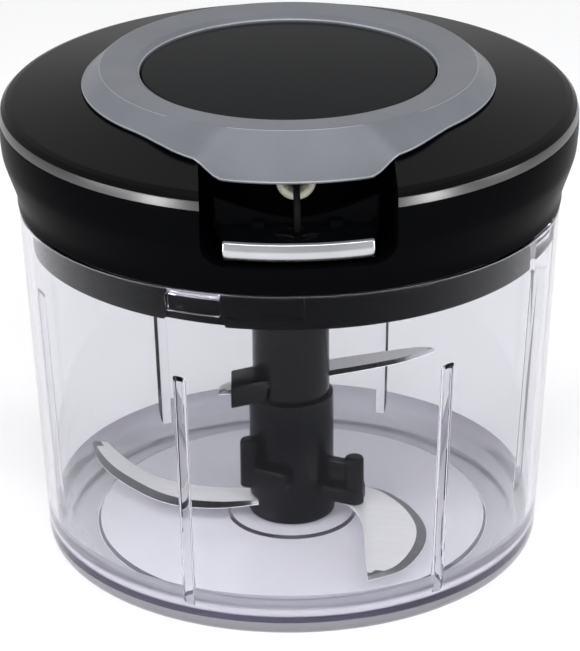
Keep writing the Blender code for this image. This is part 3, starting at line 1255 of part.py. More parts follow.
def build_chopper():
    """Builds every piece of the chopper in its place."""
    clear_plastic = new_material("clear_plastic", (0.86, 0.86, 0.9), 0.06, alpha=0.35)
    gloss_black = new_material("gloss_black", (0.006, 0.007, 0.009), 0.12)
    satin_black = new_material("satin_black", (0.016, 0.018, 0.021), 0.35)
    satin_grey = new_material("satin_grey", (0.16, 0.17, 0.19), 0.4)
    white_plastic = new_material("white_plastic", (0.75, 0.74, 0.7), 0.4)
    cream_plastic = new_material("cream_plastic", (0.66, 0.63, 0.52), 0.45)
    clear_rubber = new_material("clear_rubber", (0.62, 0.62, 0.62), 0.5)
    bright_steel = new_material("bright_steel", (0.62, 0.63, 0.65), 0.22, 1.0)
    chrome = new_material("chrome", (0.8, 0.81, 0.83), 0.08, 1.0)
    bronze = new_material("bronze", (0.5, 0.33, 0.14), 0.35, 1.0)

    build_bowl(clear_plastic)
    build_spindle(bright_steel)
    build_seal(clear_rubber)
    build_lid_base(gloss_black)
    build_lid_housing(satin_black)
    build_screws(bright_steel)
    build_ring(satin_grey)
    build_cap(gloss_black)
    build_eyelet(cream_plastic)
    build_cord(satin_black)
    build_reel(white_plastic)
    build_drive_shaft(bright_steel)
    build_pawls(white_plastic, bright_steel)
    build_drive_dog(satin_black)
    build_bush(bronze)
    build_spring_cup(bright_steel)
    build_recoil_spring(bright_steel)
    build_lower_column(gloss_black)
    build_upper_column(gloss_black)
    build_blades(bright_steel)
    build_handle(gloss_black)
    build_handle_trim(chrome)
    build_crimp(bright_steel)


clear_scene()
build_chopper()
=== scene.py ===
"""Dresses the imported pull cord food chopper.

Sizes are in millimetres and become metres where a mesh is made. Directions round the chopper's axis are
measured from the handle's side, -Y, towards +X, in degrees.
"""
import logging
import math
from dataclasses import dataclass, field
from enum import Enum
from typing import Callable, List, Optional, Sequence, Tuple

import bmesh
import bpy
from mathutils import Matrix, Vector


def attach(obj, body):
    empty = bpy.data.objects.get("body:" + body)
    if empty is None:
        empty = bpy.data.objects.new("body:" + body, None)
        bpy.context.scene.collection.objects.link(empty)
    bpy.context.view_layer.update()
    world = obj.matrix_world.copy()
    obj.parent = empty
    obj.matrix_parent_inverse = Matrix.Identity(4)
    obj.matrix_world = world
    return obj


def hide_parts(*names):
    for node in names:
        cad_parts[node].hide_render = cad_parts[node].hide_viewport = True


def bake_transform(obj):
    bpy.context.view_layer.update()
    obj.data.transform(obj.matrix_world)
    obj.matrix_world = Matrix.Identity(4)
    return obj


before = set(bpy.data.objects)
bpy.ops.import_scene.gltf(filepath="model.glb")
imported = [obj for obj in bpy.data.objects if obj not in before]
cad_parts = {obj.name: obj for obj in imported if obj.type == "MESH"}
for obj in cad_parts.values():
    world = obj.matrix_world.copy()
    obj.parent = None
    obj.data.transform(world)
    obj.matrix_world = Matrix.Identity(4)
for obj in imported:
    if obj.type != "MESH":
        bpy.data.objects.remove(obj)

MM = 0.001
Flat = Tuple[float, float]
Corner = Tuple[float, float, float]
log = logging.getLogger("chopper")


class Body(Enum):
    """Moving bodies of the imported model."""

    BOWL = "bowl"
    SEAL = "seal"
    LID = "lid"
    REEL = "reel"
    DRIVE = "drive"
    PAWL_1 = "pawl_1"
    PAWL_2 = "pawl_2"
    HANDLE = "handle"
    KNIVES = "knives"


class Joining(Enum):
    """Ways in which a tool solid acts on a piece."""

    CUT = "DIFFERENCE"
    FUSE = "UNION"


# Plane geometry


def around(radius: float, direction: float, height: float = 0.0) -> Vector:
    """Finds a point round the axis.

    Args:
        radius: distance from the axis.
        direction: degrees from -Y towards +X.
        height: height above the table.

    Returns:
        The point, in millimetres.
    """
    angle = math.radians(direction)
    return Vector((radius * math.sin(angle), -radius * math.cos(angle), height))


def arc(center: Flat, radius: float, start: float, end: float, steps: int) -> List[Flat]:
    """Lays points on an arc.

    Args:
        center: the arc's centre.
        radius: the arc's radius.
        start: first angle in degrees.
        end: last angle in degrees.
        steps: number of chords.

    Returns:
        The points from start to end.
    """
    points = []
    for step in range(steps + 1):
        angle = math.radians(start + (end - start) * step / steps)
        points.append((center[0] + radius * math.cos(angle), center[1] + radius * math.sin(angle)))
    return points


def circle(center: Flat, radius: float, steps: int) -> List[Flat]:
    """Lays points on a full circle.

    Args:
        center: the circle's centre.
        radius: the circle's radius.
        steps: number of points.

    Returns:
        The points, without a repeat of the first.
    """
    return arc(center, radius, 0.0, 360.0 * (steps - 1) / steps, steps - 1)


def soft_corners(corners: Sequence[Corner], closed: bool, steps: int = 4) -> List[Flat]:
    """Rounds the corners of a section.

    Args:
        corners: points with the radius that each corner gets, as (first, second, radius).
        closed: True where the last point joins the first.
        steps: chords in each rounded corner.

    Returns:
        The rounded chain of points.
    """
    chain = []
    count = len(corners)
    for index, (first, second, radius) in enumerate(corners):
        here = Vector((first, second))
        inside = closed or 0 < index < count - 1
        if radius <= 0.0 or not inside:
            chain.append((first, second))
            continue
        before = Vector(corners[index - 1][:2]) - here
        after = Vector(corners[(index + 1) % count][:2]) - here
        angle = before.angle(after)
        share_before = radius / (radius + corners[index - 1][2])
        share_after = radius / (radius + corners[(index + 1) % count][2])
        reach = min(radius / math.tan(angle / 2), before.length * share_before * 0.98,
                    after.length * share_after * 0.98)
        true_radius = reach * math.tan(angle / 2)
        start = here + before.normalized() * reach
        end = here + after.normalized() * reach
        middle = here + (before.normalized() + after.normalized()).normalized() * (
            true_radius / math.sin(angle / 2))
        for step in range(steps + 1):
            share = step / steps
            point = middle + (start - middle).slerp(end - middle, share).normalized() * true_radius
            chain.append((point[0], point[1]))
    return chain


def flowing(points: Sequence[Sequence[float]], steps: int) -> List[Vector]:
    """Runs a smooth curve through points.

    Args:
        points: points of any dimension.
        steps: stretches between each two points.

    Returns:
        The points of the curve.
    """
    stations = [Vector(point) for point in points]
    padded = [stations[0] * 2 - stations[1]] + stations + [stations[-1] * 2 - stations[-2]]
    curve = []
    for index in range(len(stations) - 1):
        before, start, end, after = padded[index:index + 4]
        for step in range(steps):
            t = step / steps
            curve.append(0.5 * (start * 2 + (end - before) * t
                                + (before * 2 - start * 5 + end * 4 - after) * t ** 2
                                + (start * 3 - before - end * 3 + after) * t ** 3))
    curve.append(stations[-1])
    return curve


def evenly(points: Sequence[Vector], count: int) -> List[Vector]:
    """Spreads points evenly along a chain.

    Args:
        points: the chain.
        count: number of stretches wanted.

    Returns:
        count + 1 points along the chain.
    """
    lengths = [0.0]
    for before, after in zip(points, points[1:]):
        lengths.append(lengths[-1] + (after - before).length)
    spread = []
    place = 0
    for step in range(count + 1):
        target = lengths[-1] * step / count
        while place < len(points) - 2 and lengths[place + 1] < target:
            place += 1
        stretch = lengths[place + 1] - lengths[place]
        share = (target - lengths[place]) / stretch if stretch > 0 else 0.0
        spread.append(points[place].lerp(points[place + 1], share))
    return spread


def braced(section: Sequence[Flat], closed: bool, reach: float = 0.7) -> List[Flat]:
    """Adds points near both ends of long straight stretches, so that these stay flat when shaded smooth.

    Args:
        section: the chain of points.
        closed: True where the last point joins the first.
        reach: distance of the new points from the ends.

    Returns:
        The chain with the new points.
    """
    pairs = list(zip(section, section[1:]))
    if closed:
        pairs.append((section[-1], section[0]))
    chain = []
    for start, end in pairs:
        chain.append((start[0], start[1]))
        stretch = Vector(end) - Vector(start)
        if stretch.length > reach * 4 and max(start[0], end[0]) > 0.01:
            step = stretch.normalized() * reach
            chain += [tuple(Vector(start) + step), tuple(Vector(end) - step)]
    if not closed:
        chain.append((section[-1][0], section[-1][1]))
    return chain


def upright(first: float, second: float) -> Vector:
    """Stands a section point up in the XZ plane."""
    return Vector((first, 0.0, second))


def lying(first: float, second: float) -> Vector:
    """Lays an outline point down in the XY plane."""
    return Vector((first, second, 0.0))


# Modelling tools


class Bench:
    """Modelling tools that every sub-assembly uses."""

    @staticmethod
    def only(piece: bpy.types.Object) -> None:
        """Makes a piece the one selected and active object."""
        bpy.ops.object.select_all(action="DESELECT")
        piece.select_set(True)
        bpy.context.view_layer.objects.active = piece

    @staticmethod
    def trace(name: str, points: Sequence[Vector], closed: bool) -> bpy.types.Object:
        """Draws a chain of edges by pulling one point from place to place.

        Args:
            name: the new piece's name.
            points: places of the chain, in millimetres.
            closed: True to join the last place to the first.

        Returns:
            The piece, in edit mode with all of it selected.
        """
        bpy.ops.object.select_all(action="DESELECT")
        bpy.ops.mesh.primitive_plane_add(size=MM)
        piece = bpy.context.active_object
        piece.name = name
        piece.data.name = name
        bpy.ops.object.mode_set(mode="EDIT")
        bpy.ops.mesh.select_mode(type="VERT")
        bpy.ops.mesh.select_all(action="SELECT")
        bpy.ops.mesh.merge(type="CENTER")
        bpy.ops.transform.translate(value=points[0] * MM)
        for before, after in zip(points, points[1:]):
            bpy.ops.mesh.extrude_vertices_move(TRANSFORM_OT_translate={"value": (after - before) * MM})
        if closed:
            mesh = bmesh.from_edit_mesh(piece.data)
            for vert in mesh.verts:
                vert.select = len(vert.link_edges) == 1
            mesh.select_flush_mode()
            bmesh.update_edit_mesh(piece.data)
            bpy.ops.mesh.edge_face_add()
        bpy.ops.mesh.select_all(action="SELECT")
        return piece

    @staticmethod
    def close_up(piece: bpy.types.Object) -> bpy.types.Object:
        """Merges doubled points, turns the faces outwards and leaves edit mode."""
        bpy.ops.mesh.select_all(action="SELECT")
        bpy.ops.mesh.remove_doubles(threshold=0.002 * MM)
        bpy.ops.mesh.normals_make_consistent(inside=False)
        bpy.ops.object.mode_set(mode="OBJECT")
        return piece

    @staticmethod
    def turned(name: str, section: Sequence[Flat], closed: bool, steps: int = 128,
               stand: Callable[[float, float], Vector] = upright, center: Vector = Vector((0.0, 0.0, 0.0)),
               axis: Vector = Vector((0.0, 0.0, 1.0)), angle: float = 360.0) -> bpy.types.Object:
        """Turns a section round an axis.

        Args:
            name: the new piece's name.
            section: points of (radius, height).
            closed: True for a section that doesn't touch the axis.
            steps: facets of the turn.
            stand: places a section point in space.
            center: a point on the axis, in millimetres.
            axis: the axis's direction.
            angle: how far to turn, in degrees.

        Returns:
            The turned piece. Less than a full turn gets its two ends closed.
        """
        piece = Bench.trace(name, [stand(*point) for point in braced(section, closed)], closed)
        bpy.ops.mesh.spin(steps=steps, angle=math.radians(angle), center=center * MM, axis=axis)
        if angle < 360.0:
            mesh = bmesh.from_edit_mesh(piece.data)
            for edge in mesh.edges:
                edge.select = len(edge.link_faces) < 2
            bmesh.update_edit_mesh(piece.data)
            bpy.ops.mesh.select_mode(type="EDGE")
            bpy.ops.mesh.edge_face_add()
        return Bench.close_up(piece)

    @staticmethod
    def pressed(name: str, outline: Sequence[Flat], low: float, high: float,
                stand: Callable[[float, float], Vector] = lying,
                rise: Vector = Vector((0.0, 0.0, 1.0))) -> bpy.types.Object:
        """Presses an outline into a solid.

        Args:
            name: the new piece's name.
            outline: corners of the outline.
            low: where the solid starts along the rise.
            high: where it ends.
            stand: places an outline point in space.
            rise: direction of the extrusion.

        Returns:
            The solid.
        """
        piece = Bench.trace(name, [stand(*point) + rise * low for point in outline], True)
        bpy.ops.mesh.edge_face_add()
        bpy.ops.mesh.extrude_region_move(TRANSFORM_OT_translate={"value": rise * ((high - low) * MM)})
        return Bench.close_up(piece)

    @staticmethod
    def copied(piece: bpy.types.Object, name: str, matrix: Matrix) -> bpy.types.Object:
        """Copies a piece with a mesh of its own, moved by a matrix in metres."""
        twin = piece.copy()
        twin.data = piece.data.copy()
        twin.name = name
        twin.data.name = name
        bpy.context.scene.collection.objects.link(twin)
        twin.data.transform(matrix)
        return twin

    @staticmethod
    def joined(pieces: Sequence[bpy.types.Object]) -> bpy.types.Object:
        """Joins pieces that stay apart into the first of them."""
        bpy.ops.object.select_all(action="DESELECT")
        for piece in pieces:
            piece.select_set(True)
        bpy.context.view_layer.objects.active = pieces[0]
        bpy.ops.object.join()
        return pieces[0]

    @staticmethod
    def combined(piece: bpy.types.Object, tool: bpy.types.Object, joining: Joining) -> None:
        """Cuts a tool solid out of a piece, or fuses it on, and removes the tool.

        Args:
            piece: the piece to change.
            tool: the solid that acts on it.
            joining: whether to cut or fuse.
        """
        Bench.only(piece)
        modifier = piece.modifiers.new("combined", "BOOLEAN")
        modifier.operation = joining.value
        modifier.solver = "EXACT"
        modifier.object = tool
        bpy.ops.object.modifier_apply(modifier=modifier.name)
        bpy.data.objects.remove(tool, do_unlink=True)

    @staticmethod
    def eased(piece: bpy.types.Object, width: float, segments: int = 2, angle: float = 32.0) -> None:
        """Rounds every sharp edge of a piece.

        Args:
            piece: the piece to change.
            width: width of the rounding, in millimetres.
            segments: facets across it.
            angle: edges that turn by more than this are rounded, in degrees.
        """
        Bench.only(piece)
        modifier = piece.modifiers.new("eased", "BEVEL")
        modifier.width = width * MM
        modifier.segments = segments
        modifier.limit_method = "ANGLE"
        modifier.angle_limit = math.radians(angle)
        modifier.miter_outer = "MITER_ARC"
        bpy.ops.object.modifier_apply(modifier=modifier.name)

    @staticmethod
    def smoothed(piece: bpy.types.Object, angle: float = 28.0) -> None:
        """Shades a piece smooth, with edges sharper than an angle kept."""
        Bench.only(piece)
        bpy.ops.object.shade_smooth_by_angle(angle=math.radians(angle))


# Finishes


@dataclass(frozen=True)
class Finish:
    """A moulded or metal finish: colour, gloss and the fine marks of its making.

    Attributes:
        name: material name.
        color: base colour.
        roughness: mean roughness.
        metallic: 1 for metal.
        mottle: how far the roughness wanders.
        mottle_scale: size of that wandering, in marks per metre.
        grain: height of the surface grain, in millimetres.
        grain_scale: grains per metre.
        stretch: how the marks are drawn out along X, Y and Z.
        shade: how far the colour wanders.
        coat: clear coat weight.
        specular: reflection level.
        anisotropic: how far the highlight is drawn out.
    """

    name: str
    color: Tuple[float, float, float]
    roughness: float
    metallic: float = 0.0
    mottle: float = 0.05
    mottle_scale: float = 60.0
    grain: float = 0.01
    grain_scale: float = 2500.0
    stretch: Tuple[float, float, float] = (1.0, 1.0, 1.0)
    shade: float = 0.08
    coat: float = 0.0
    specular: float = 0.5
    anisotropic: float = 0.0

    def material(self) -> bpy.types.Material:
        """Builds the finish's node material.

        Returns:
            The material.
        """
        material = bpy.data.materials.new(self.name)
        material.use_nodes = True
        nodes = material.node_tree.nodes
        links = material.node_tree.links
        shader = nodes["Principled BSDF"]
        shader.inputs["Metallic"].default_value = self.metallic
        shader.inputs["Coat Weight"].default_value = self.coat
        shader.inputs["Coat Roughness"].default_value = 0.06
        shader.inputs["Specular IOR Level"].default_value = self.specular
        shader.inputs["Anisotropic"].default_value = self.anisotropic
        place = nodes.new("ShaderNodeTexCoord")
        mapping = nodes.new("ShaderNodeMapping")
        mapping.inputs["Scale"].default_value = self.stretch
        links.new(place.outputs["Object"], mapping.inputs["Vector"])

        cloud = nodes.new("ShaderNodeTexNoise")
        cloud.inputs["Scale"].default_value = self.mottle_scale
        cloud.inputs["Detail"].default_value = 4.0
        links.new(mapping.outputs["Vector"], cloud.inputs["Vector"])
        gloss = nodes.new("ShaderNodeMapRange")
        gloss.inputs["To Min"].default_value = max(self.roughness - self.mottle, 0.01)
        gloss.inputs["To Max"].default_value = self.roughness + self.mottle
        links.new(cloud.outputs["Fac"], gloss.inputs["Value"])
        links.new(gloss.outputs["Result"], shader.inputs["Roughness"])

        tint = nodes.new("ShaderNodeValToRGB")
        dark = tuple(channel * (1.0 - self.shade) for channel in self.color)
        light = tuple(min(channel * (1.0 + self.shade), 1.0) for channel in self.color)
        tint.color_ramp.elements[0].position = 0.3
        tint.color_ramp.elements[0].color = (*dark, 1.0)
        tint.color_ramp.elements[1].position = 0.7
        tint.color_ramp.elements[1].color = (*light, 1.0)
        links.new(cloud.outputs["Fac"], tint.inputs["Fac"])
        links.new(tint.outputs["Color"], shader.inputs["Base Color"])

        grains = nodes.new("ShaderNodeTexNoise")
        grains.inputs["Scale"].default_value = self.grain_scale
        grains.inputs["Detail"].default_value = 2.0
        links.new(mapping.outputs["Vector"], grains.inputs["Vector"])
        bump = nodes.new("ShaderNodeBump")
        bump.inputs["Strength"].default_value = 0.35
        bump.inputs["Distance"].default_value = self.grain * MM
        links.new(grains.outputs["Fac"], bump.inputs["Height"])
        links.new(bump.outputs["Normal"], shader.inputs["Normal"])
        return material


@dataclass(frozen=True)
class ClearPlastic:
    """Clear moulded plastic, with the faint waves that the mould leaves.

    Attributes:
        name: material name.
        tint: colour that the plastic gives to what is behind it.
        ior: index of refraction.
        roughness: surface roughness.
        wave: height of the mould's waves, in millimetres.
        mirror: tint of what the plastic reflects.
        clarity: share of the light that passes; the rest is scattered.
        depth_tint: colour of thick plastic.
        depth_density: how fast that colour builds up, per metre.
    """

    name: str = "clear_plastic_finish"
    tint: Tuple[float, float, float] = (0.905, 0.91, 0.92)
    ior: float = 1.46
    roughness: float = 0.004
    wave: float = 0.02
    mirror: Tuple[float, float, float] = (0.08, 0.08, 0.09)
    clarity: float = 1.0
    depth_tint: Tuple[float, float, float] = (0.74, 0.72, 0.82)
    depth_density: float = 80.0

    def material(self) -> bpy.types.Material:
        """Builds the clear material.

        Returns:
            The material.
        """
        material = bpy.data.materials.new(self.name)
        material.use_nodes = True
        nodes = material.node_tree.nodes
        links = material.node_tree.links
        shader = nodes["Principled BSDF"]
        shader.inputs["Transmission Weight"].default_value = self.clarity
        shader.inputs["IOR"].default_value = self.ior
        shader.inputs["Specular Tint"].default_value = (*self.mirror, 1.0)
        depth = nodes.new("ShaderNodeVolumeAbsorption")
        depth.inputs["Color"].default_value = (*self.depth_tint, 1.0)
        depth.inputs["Density"].default_value = self.depth_density
        links.new(depth.outputs["Volume"], nodes["Material Output"].inputs["Volume"])
        place = nodes.new("ShaderNodeTexCoord")
        waves = nodes.new("ShaderNodeTexNoise")
        waves.inputs["Scale"].default_value = 28.0
        waves.inputs["Detail"].default_value = 1.0
        links.new(place.outputs["Object"], waves.inputs["Vector"])
        bump = nodes.new("ShaderNodeBump")
        bump.inputs["Strength"].default_value = 0.25
        bump.inputs["Distance"].default_value = self.wave * MM
        links.new(waves.outputs["Fac"], bump.inputs["Height"])
        links.new(bump.outputs["Normal"], shader.inputs["Normal"])
        haze = nodes.new("ShaderNodeMapRange")
        haze.inputs["To Min"].default_value = self.roughness * 0.5
        haze.inputs["To Max"].default_value = self.roughness * 1.5
        links.new(waves.outputs["Fac"], haze.inputs["Value"])
        links.new(haze.outputs["Result"], shader.inputs["Roughness"])
        tone = nodes.new("ShaderNodeValToRGB")
        tone.color_ramp.elements[0].color = (*self.tint, 1.0)
        tone.color_ramp.elements[1].color = (*[min(channel * 1.01, 1.0) for channel in self.tint], 1.0)
        links.new(waves.outputs["Fac"], tone.inputs["Fac"])
        links.new(tone.outputs["Color"], shader.inputs["Base Color"])
        return material


@dataclass
class Finishes:
    """Every finish of the chopper, made once."""

    clear: bpy.types.Material = field(default_factory=lambda: ClearPlastic().material())
    # Darker grey copy of the clear plastic for the cove and the foot's corner: painted shade.
    painted_shade_clear: bpy.types.Material = field(default_factory=lambda: ClearPlastic(
        "painted_shade_plastic_finish", (0.52, 0.522, 0.545), roughness=0.03, clarity=0.65).material())
    frosted: bpy.types.Material = field(default_factory=lambda: ClearPlastic(
        "frosted_plastic_finish", (0.87, 0.87, 0.885), roughness=0.12, clarity=0.7).material())
    gloss_black: bpy.types.Material = field(default_factory=lambda: Finish(
        "gloss_black_finish", (0.0015, 0.0017, 0.0022), 0.12, mottle=0.03, grain=0.003,
        specular=0.03).material())
    column_black: bpy.types.Material = field(default_factory=lambda: Finish(
        "column_black_finish", (0.002, 0.0022, 0.003), 0.2, mottle=0.03, grain=0.003,
        specular=0.14).material())
    wall_black: bpy.types.Material = field(default_factory=lambda: Finish(
        "wall_black_finish", (0.0015, 0.0016, 0.002), 0.3, mottle=0.03, grain=0.003,
        specular=0.008).material())
    rim_black: bpy.types.Material = field(default_factory=lambda: Finish(
        "polished_black_finish", (0.0015, 0.0016, 0.002), 0.28, mottle=0.02, grain=0.001,
        specular=1.0).material())
    # Lighter grey with a high specular level for the ring's rounded edges: painted highlight, with real reflection.
    painted_highlight_grey: bpy.types.Material = field(default_factory=lambda: Finish(
        "painted_highlight_grey_finish", (0.24, 0.25, 0.275), 0.2, mottle=0.03, grain=0.004,
        specular=1.0).material())
    cap_black: bpy.types.Material = field(default_factory=lambda: Finish(
        "cap_black_finish", (0.003, 0.0035, 0.0045), 0.16, mottle=0.02, grain=0.003,
        specular=0.035).material())
    satin_black: bpy.types.Material = field(default_factory=lambda: Finish(
        "satin_black_finish", (0.0015, 0.0016, 0.002), 0.2, mottle=0.03, grain=0.003,
        specular=0.06).material())
    satin_grey: bpy.types.Material = field(default_factory=lambda: Finish(
        "satin_grey_finish", (0.12, 0.128, 0.145), 0.34, mottle=0.04, grain=0.012).material())
    cream: bpy.types.Material = field(default_factory=lambda: Finish(
        "cream_plastic_finish", (0.88, 0.85, 0.74), 0.3, grain=0.008).material())
    white: bpy.types.Material = field(default_factory=lambda: Finish(
        "white_plastic_finish", (0.74, 0.73, 0.69), 0.38, grain=0.01).material())
    seal: bpy.types.Material = field(default_factory=lambda: Finish(
        "pale_rubber_finish", (0.75, 0.75, 0.76), 0.4, grain=0.01).material())
    blade_steel: bpy.types.Material = field(default_factory=lambda: Finish(
        "blade_steel_finish", (0.93, 0.93, 0.94), 0.34, metallic=0.5, mottle=0.04, mottle_scale=180.0,
        grain=0.001, grain_scale=1400.0, stretch=(1.0, 9.0, 1.0), shade=0.04).material())
    # Darker steel for the band ground along a blade's edge: a real ground bevel with grind marks, and painted shade.
    ground_band_painted_shade: bpy.types.Material = field(default_factory=lambda: Finish(
        "ground_band_painted_shade_finish", (0.3, 0.305, 0.315), 0.3, metallic=1.0, mottle=0.07, mottle_scale=220.0,
        grain=0.006, grain_scale=1800.0, stretch=(9.0, 1.0, 1.0), shade=0.15).material())
    turned_steel: bpy.types.Material = field(default_factory=lambda: Finish(
        "turned_steel_finish", (0.55, 0.56, 0.58), 0.25, metallic=1.0, mottle=0.08, mottle_scale=300.0,
        grain=0.004, grain_scale=900.0, stretch=(0.4, 0.4, 12.0)).material())
    chrome: bpy.types.Material = field(default_factory=lambda: Finish(
        "satin_chrome_finish", (0.5, 0.51, 0.53), 0.2, metallic=1.0, mottle=0.04, grain=0.002).material())
    bronze: bpy.types.Material = field(default_factory=lambda: Finish(
        "bush_bronze_finish", (0.5, 0.33, 0.14), 0.34, metallic=1.0, grain=0.01).material())
    cord: bpy.types.Material = field(default_factory=lambda: Finish(
        "braided_cord_finish", (0.004, 0.004, 0.0045), 0.75, mottle=0.08, grain=0.12, grain_scale=1600.0,
        shade=0.4, specular=0.1).material())


def part_finish(piece: bpy.types.Object, finish: bpy.types.Material,
                wanted: Callable[[Vector, Vector, float], bool]) -> None:
    """Gives some faces of a dressed piece a finish of their own.

    Args:
        piece: the dressed piece.
        finish: their finish.
        wanted: says by a face's middle (in millimetres), normal and area (in square millimetres) if it is one.
    """
    piece.data.materials.append(finish)
    index = len(piece.data.materials) - 1
    for polygon in piece.data.polygons:
        if wanted(polygon.center / MM, polygon.normal, polygon.area / MM / MM):
            polygon.material_index = index


def dressed(piece: bpy.types.Object, finish: bpy.types.Material, body: Body, slot: str,
            *nodes: str) -> bpy.types.Object:
    """Gives a piece its finish, its body and the nodes that it stands for.

    Args:
        piece: the finished piece.
        finish: its material.
        body: the body that it rides on.
        slot: the record's material slot; not used.
        nodes: CAD nodes that it replaces.

    Returns:
        The piece.
    """
    piece.data.materials.clear()
    piece.data.materials.append(finish)
    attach(piece, body.value)
    if nodes:
        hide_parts(*nodes)
    log.info("%s: %d faces on %s", piece.name, len(piece.data.polygons), body.value)
    return piece


# Sub-assemblies


@dataclass
class Bowl:
    """Clear tapered bowl with a coved floor, six inner ribs and four bayonet lugs."""

    finishes: Finishes
    height: float = 90.6
    foot_radius: float = 61.3
    rim_radius: float = 66.1
    wall: float = 2.1
    corner: float = 3.6
    floor: float = 3.5
    disc_radius: float = 48.6
    face_margin: float = 0.2
    cove_start: float = 1.2
    cove_low: float = 2.0
    corner_margin: float = 0.3
    flat: float = 0.97
    level_face: float = 0.9
    trough: float = 0.7
    cove: float = 8.0
    boss_radius: float = 15.6
    boss_height: float = 0.7
    spindle_hole: float = 3.3
    spindle_sink: float = 2.4
    rib_count: int = 6
    rib_direction: float = -26.2
    rib_top: float = 67.6
    rib_width: float = 2.6
    rib_depth: float = 1.9
    lug_count: int = 4
    lug_direction: float = -22.4
    lug_half_angle: float = 6.0
    lug_reach: float = 2.3
    lug_low: float = 84.0
    lug_height: float = 4.6
    bite: float = 0.8

    def outer(self, height: float) -> float:
        """Returns the outer wall's radius at a height."""
        return self.foot_radius + (self.rim_radius - self.foot_radius) * height / self.height

    def inner(self, height: float) -> float:
        """Returns the inner wall's radius at a height."""
        return self.outer(height) - self.wall

    def inside(self, place: Vector) -> bool:
        """Returns whether a face's middle lies on the inner side of the wall."""
        return math.hypot(place[0], place[1]) < self.inner(place[2]) + self.face_margin

    def thick(self, place: Vector, normal: Vector, area: float) -> bool:
        """Returns whether a face lies in the cove or on the foot's corner, where the plastic is thick; these faces get
        painted shade, a darker grey copy of the clear plastic.
        """
        if self.inside(place):
            beyond = math.hypot(place[0], place[1]) > self.disc_radius + self.cove_start
            return beyond and self.cove_low < place[2] < self.cove_top()
        return place[2] < self.corner + self.corner_margin and normal[2] > -self.flat

    def on_disc(self, place: Vector, normal: Vector, area: float) -> bool:
        """Returns whether a face lies on top of the floor's disc."""
        near = math.hypot(place[0], place[1]) < self.disc_radius + self.face_margin
        return self.inside(place) and near and normal[2] > self.level_face

    def cove_top(self) -> float:
        """Returns the height at which the cove meets the wall."""
        return self.floor - self.trough + self.cove

    def section(self) -> List[Flat]:
        """Returns the section of the bowl, from the axis below to the axis above."""
        low = self.floor - self.trough
        top = self.floor + self.boss_height
        corners = [(0.0, 0.0, 0.0), (self.outer(0.0), 0.0, self.corner)]
        corners += [(self.outer(self.height), self.height, 0.7), (self.inner(self.height), self.height, 0.6)]
        corners += [(self.inner(low), low, self.cove), (self.disc_radius + self.trough, low, 0.4)]
        corners += [(self.disc_radius, self.floor, 0.4), (self.boss_radius + self.boss_height, self.floor, 0.3)]
        corners += [(self.boss_radius, top, 0.35), (self.spindle_hole, top, 0.15)]
        corners += [(self.spindle_hole, top - self.spindle_sink, 0.0), (0.0, top - self.spindle_sink, 0.0)]
        return soft_corners(corners, False, 6)

    def ribs(self) -> bpy.types.Object:
        """Models one rounded rib and copies it round the wall.

        Returns:
            The ribs, joined.
        """
        foot = self.floor - self.trough - self.bite
        shoulder = self.rib_top - self.rib_depth
        outline = [(self.inner(foot) + self.bite, foot), (self.inner(foot) - self.rib_depth, foot)]
        outline += [(self.inner(shoulder) - self.rib_depth, shoulder)]
        outline += [(self.inner(self.rib_top) - self.rib_depth * 0.5, self.rib_top - 0.6)]
        outline += [(self.inner(self.rib_top), self.rib_top), (self.inner(self.rib_top) + self.bite, self.rib_top)]
        half = self.rib_width / 2
        rib = Bench.pressed("bowl_rib", outline, -half, half, upright, Vector((0.0, 1.0, 0.0)))
        Bench.eased(rib, 0.75, 3, 40.0)
        copies = []
        for index in range(self.rib_count):
            direction = self.rib_direction + 360.0 * index / self.rib_count
            turn = Matrix.Rotation(math.radians(direction - 90.0), 4, "Z")
            copies.append(Bench.copied(rib, f"bowl_rib_{index}", turn))
        bpy.data.objects.remove(rib, do_unlink=True)
        return Bench.joined(copies)

    def lugs(self) -> bpy.types.Object:
        """Models the bayonet lugs inside the rim.

        Returns:
            The lugs, joined.
        """
        inner = self.inner(self.lug_low) - self.lug_reach
        outer = self.inner(self.lug_low) + self.bite
        lugs = []
        for index in range(self.lug_count):
            middle = self.lug_direction + 360.0 * index / self.lug_count
            outline = sector(inner, outer, middle - self.lug_half_angle, middle + self.lug_half_angle, 6)
            lug = Bench.pressed(f"bowl_lug_{index}", outline, self.lug_low, self.lug_low + self.lug_height)
            Bench.eased(lug, 0.5, 2, 60.0)
            lugs.append(lug)
        return Bench.joined(lugs)

    def build(self) -> None:
        """Models and dresses the bowl, with the hole for its spindle."""
        bowl = Bench.turned("bowl_shell", self.section(), False, 192)
        Bench.combined(bowl, self.ribs(), Joining.FUSE)
        Bench.combined(bowl, self.lugs(), Joining.FUSE)
        Bench.smoothed(bowl, 24.0)
        dressed(bowl, self.finishes.clear, Body.BOWL, "clear_plastic", "bowl")
        bowl.visible_shadow = False
        # The cove and the foot's corner get a darker grey copy of the clear plastic: painted shade.
        part_finish(bowl, self.finishes.painted_shade_clear, self.thick)
        part_finish(bowl, self.finishes.frosted, self.on_disc)


def sector(inner: float, outer: float, start: float, end: float, steps: int) -> List[Flat]:
    """Draws the outline of a piece of a ring.

    Args:
        inner: inner radius.
        outer: outer radius.
        start: first direction.
        end: last direction.
        steps: chords along each arc.

    Returns:
        The outline.
    """
    outline = []
    for step in range(steps + 1):
        point = around(outer, start + (end - start) * step / steps)
        outline.append((point[0], point[1]))
    for step in range(steps + 1):
        point = around(inner, end + (start - end) * step / steps)
        outline.append((point[0], point[1]))
    return outline


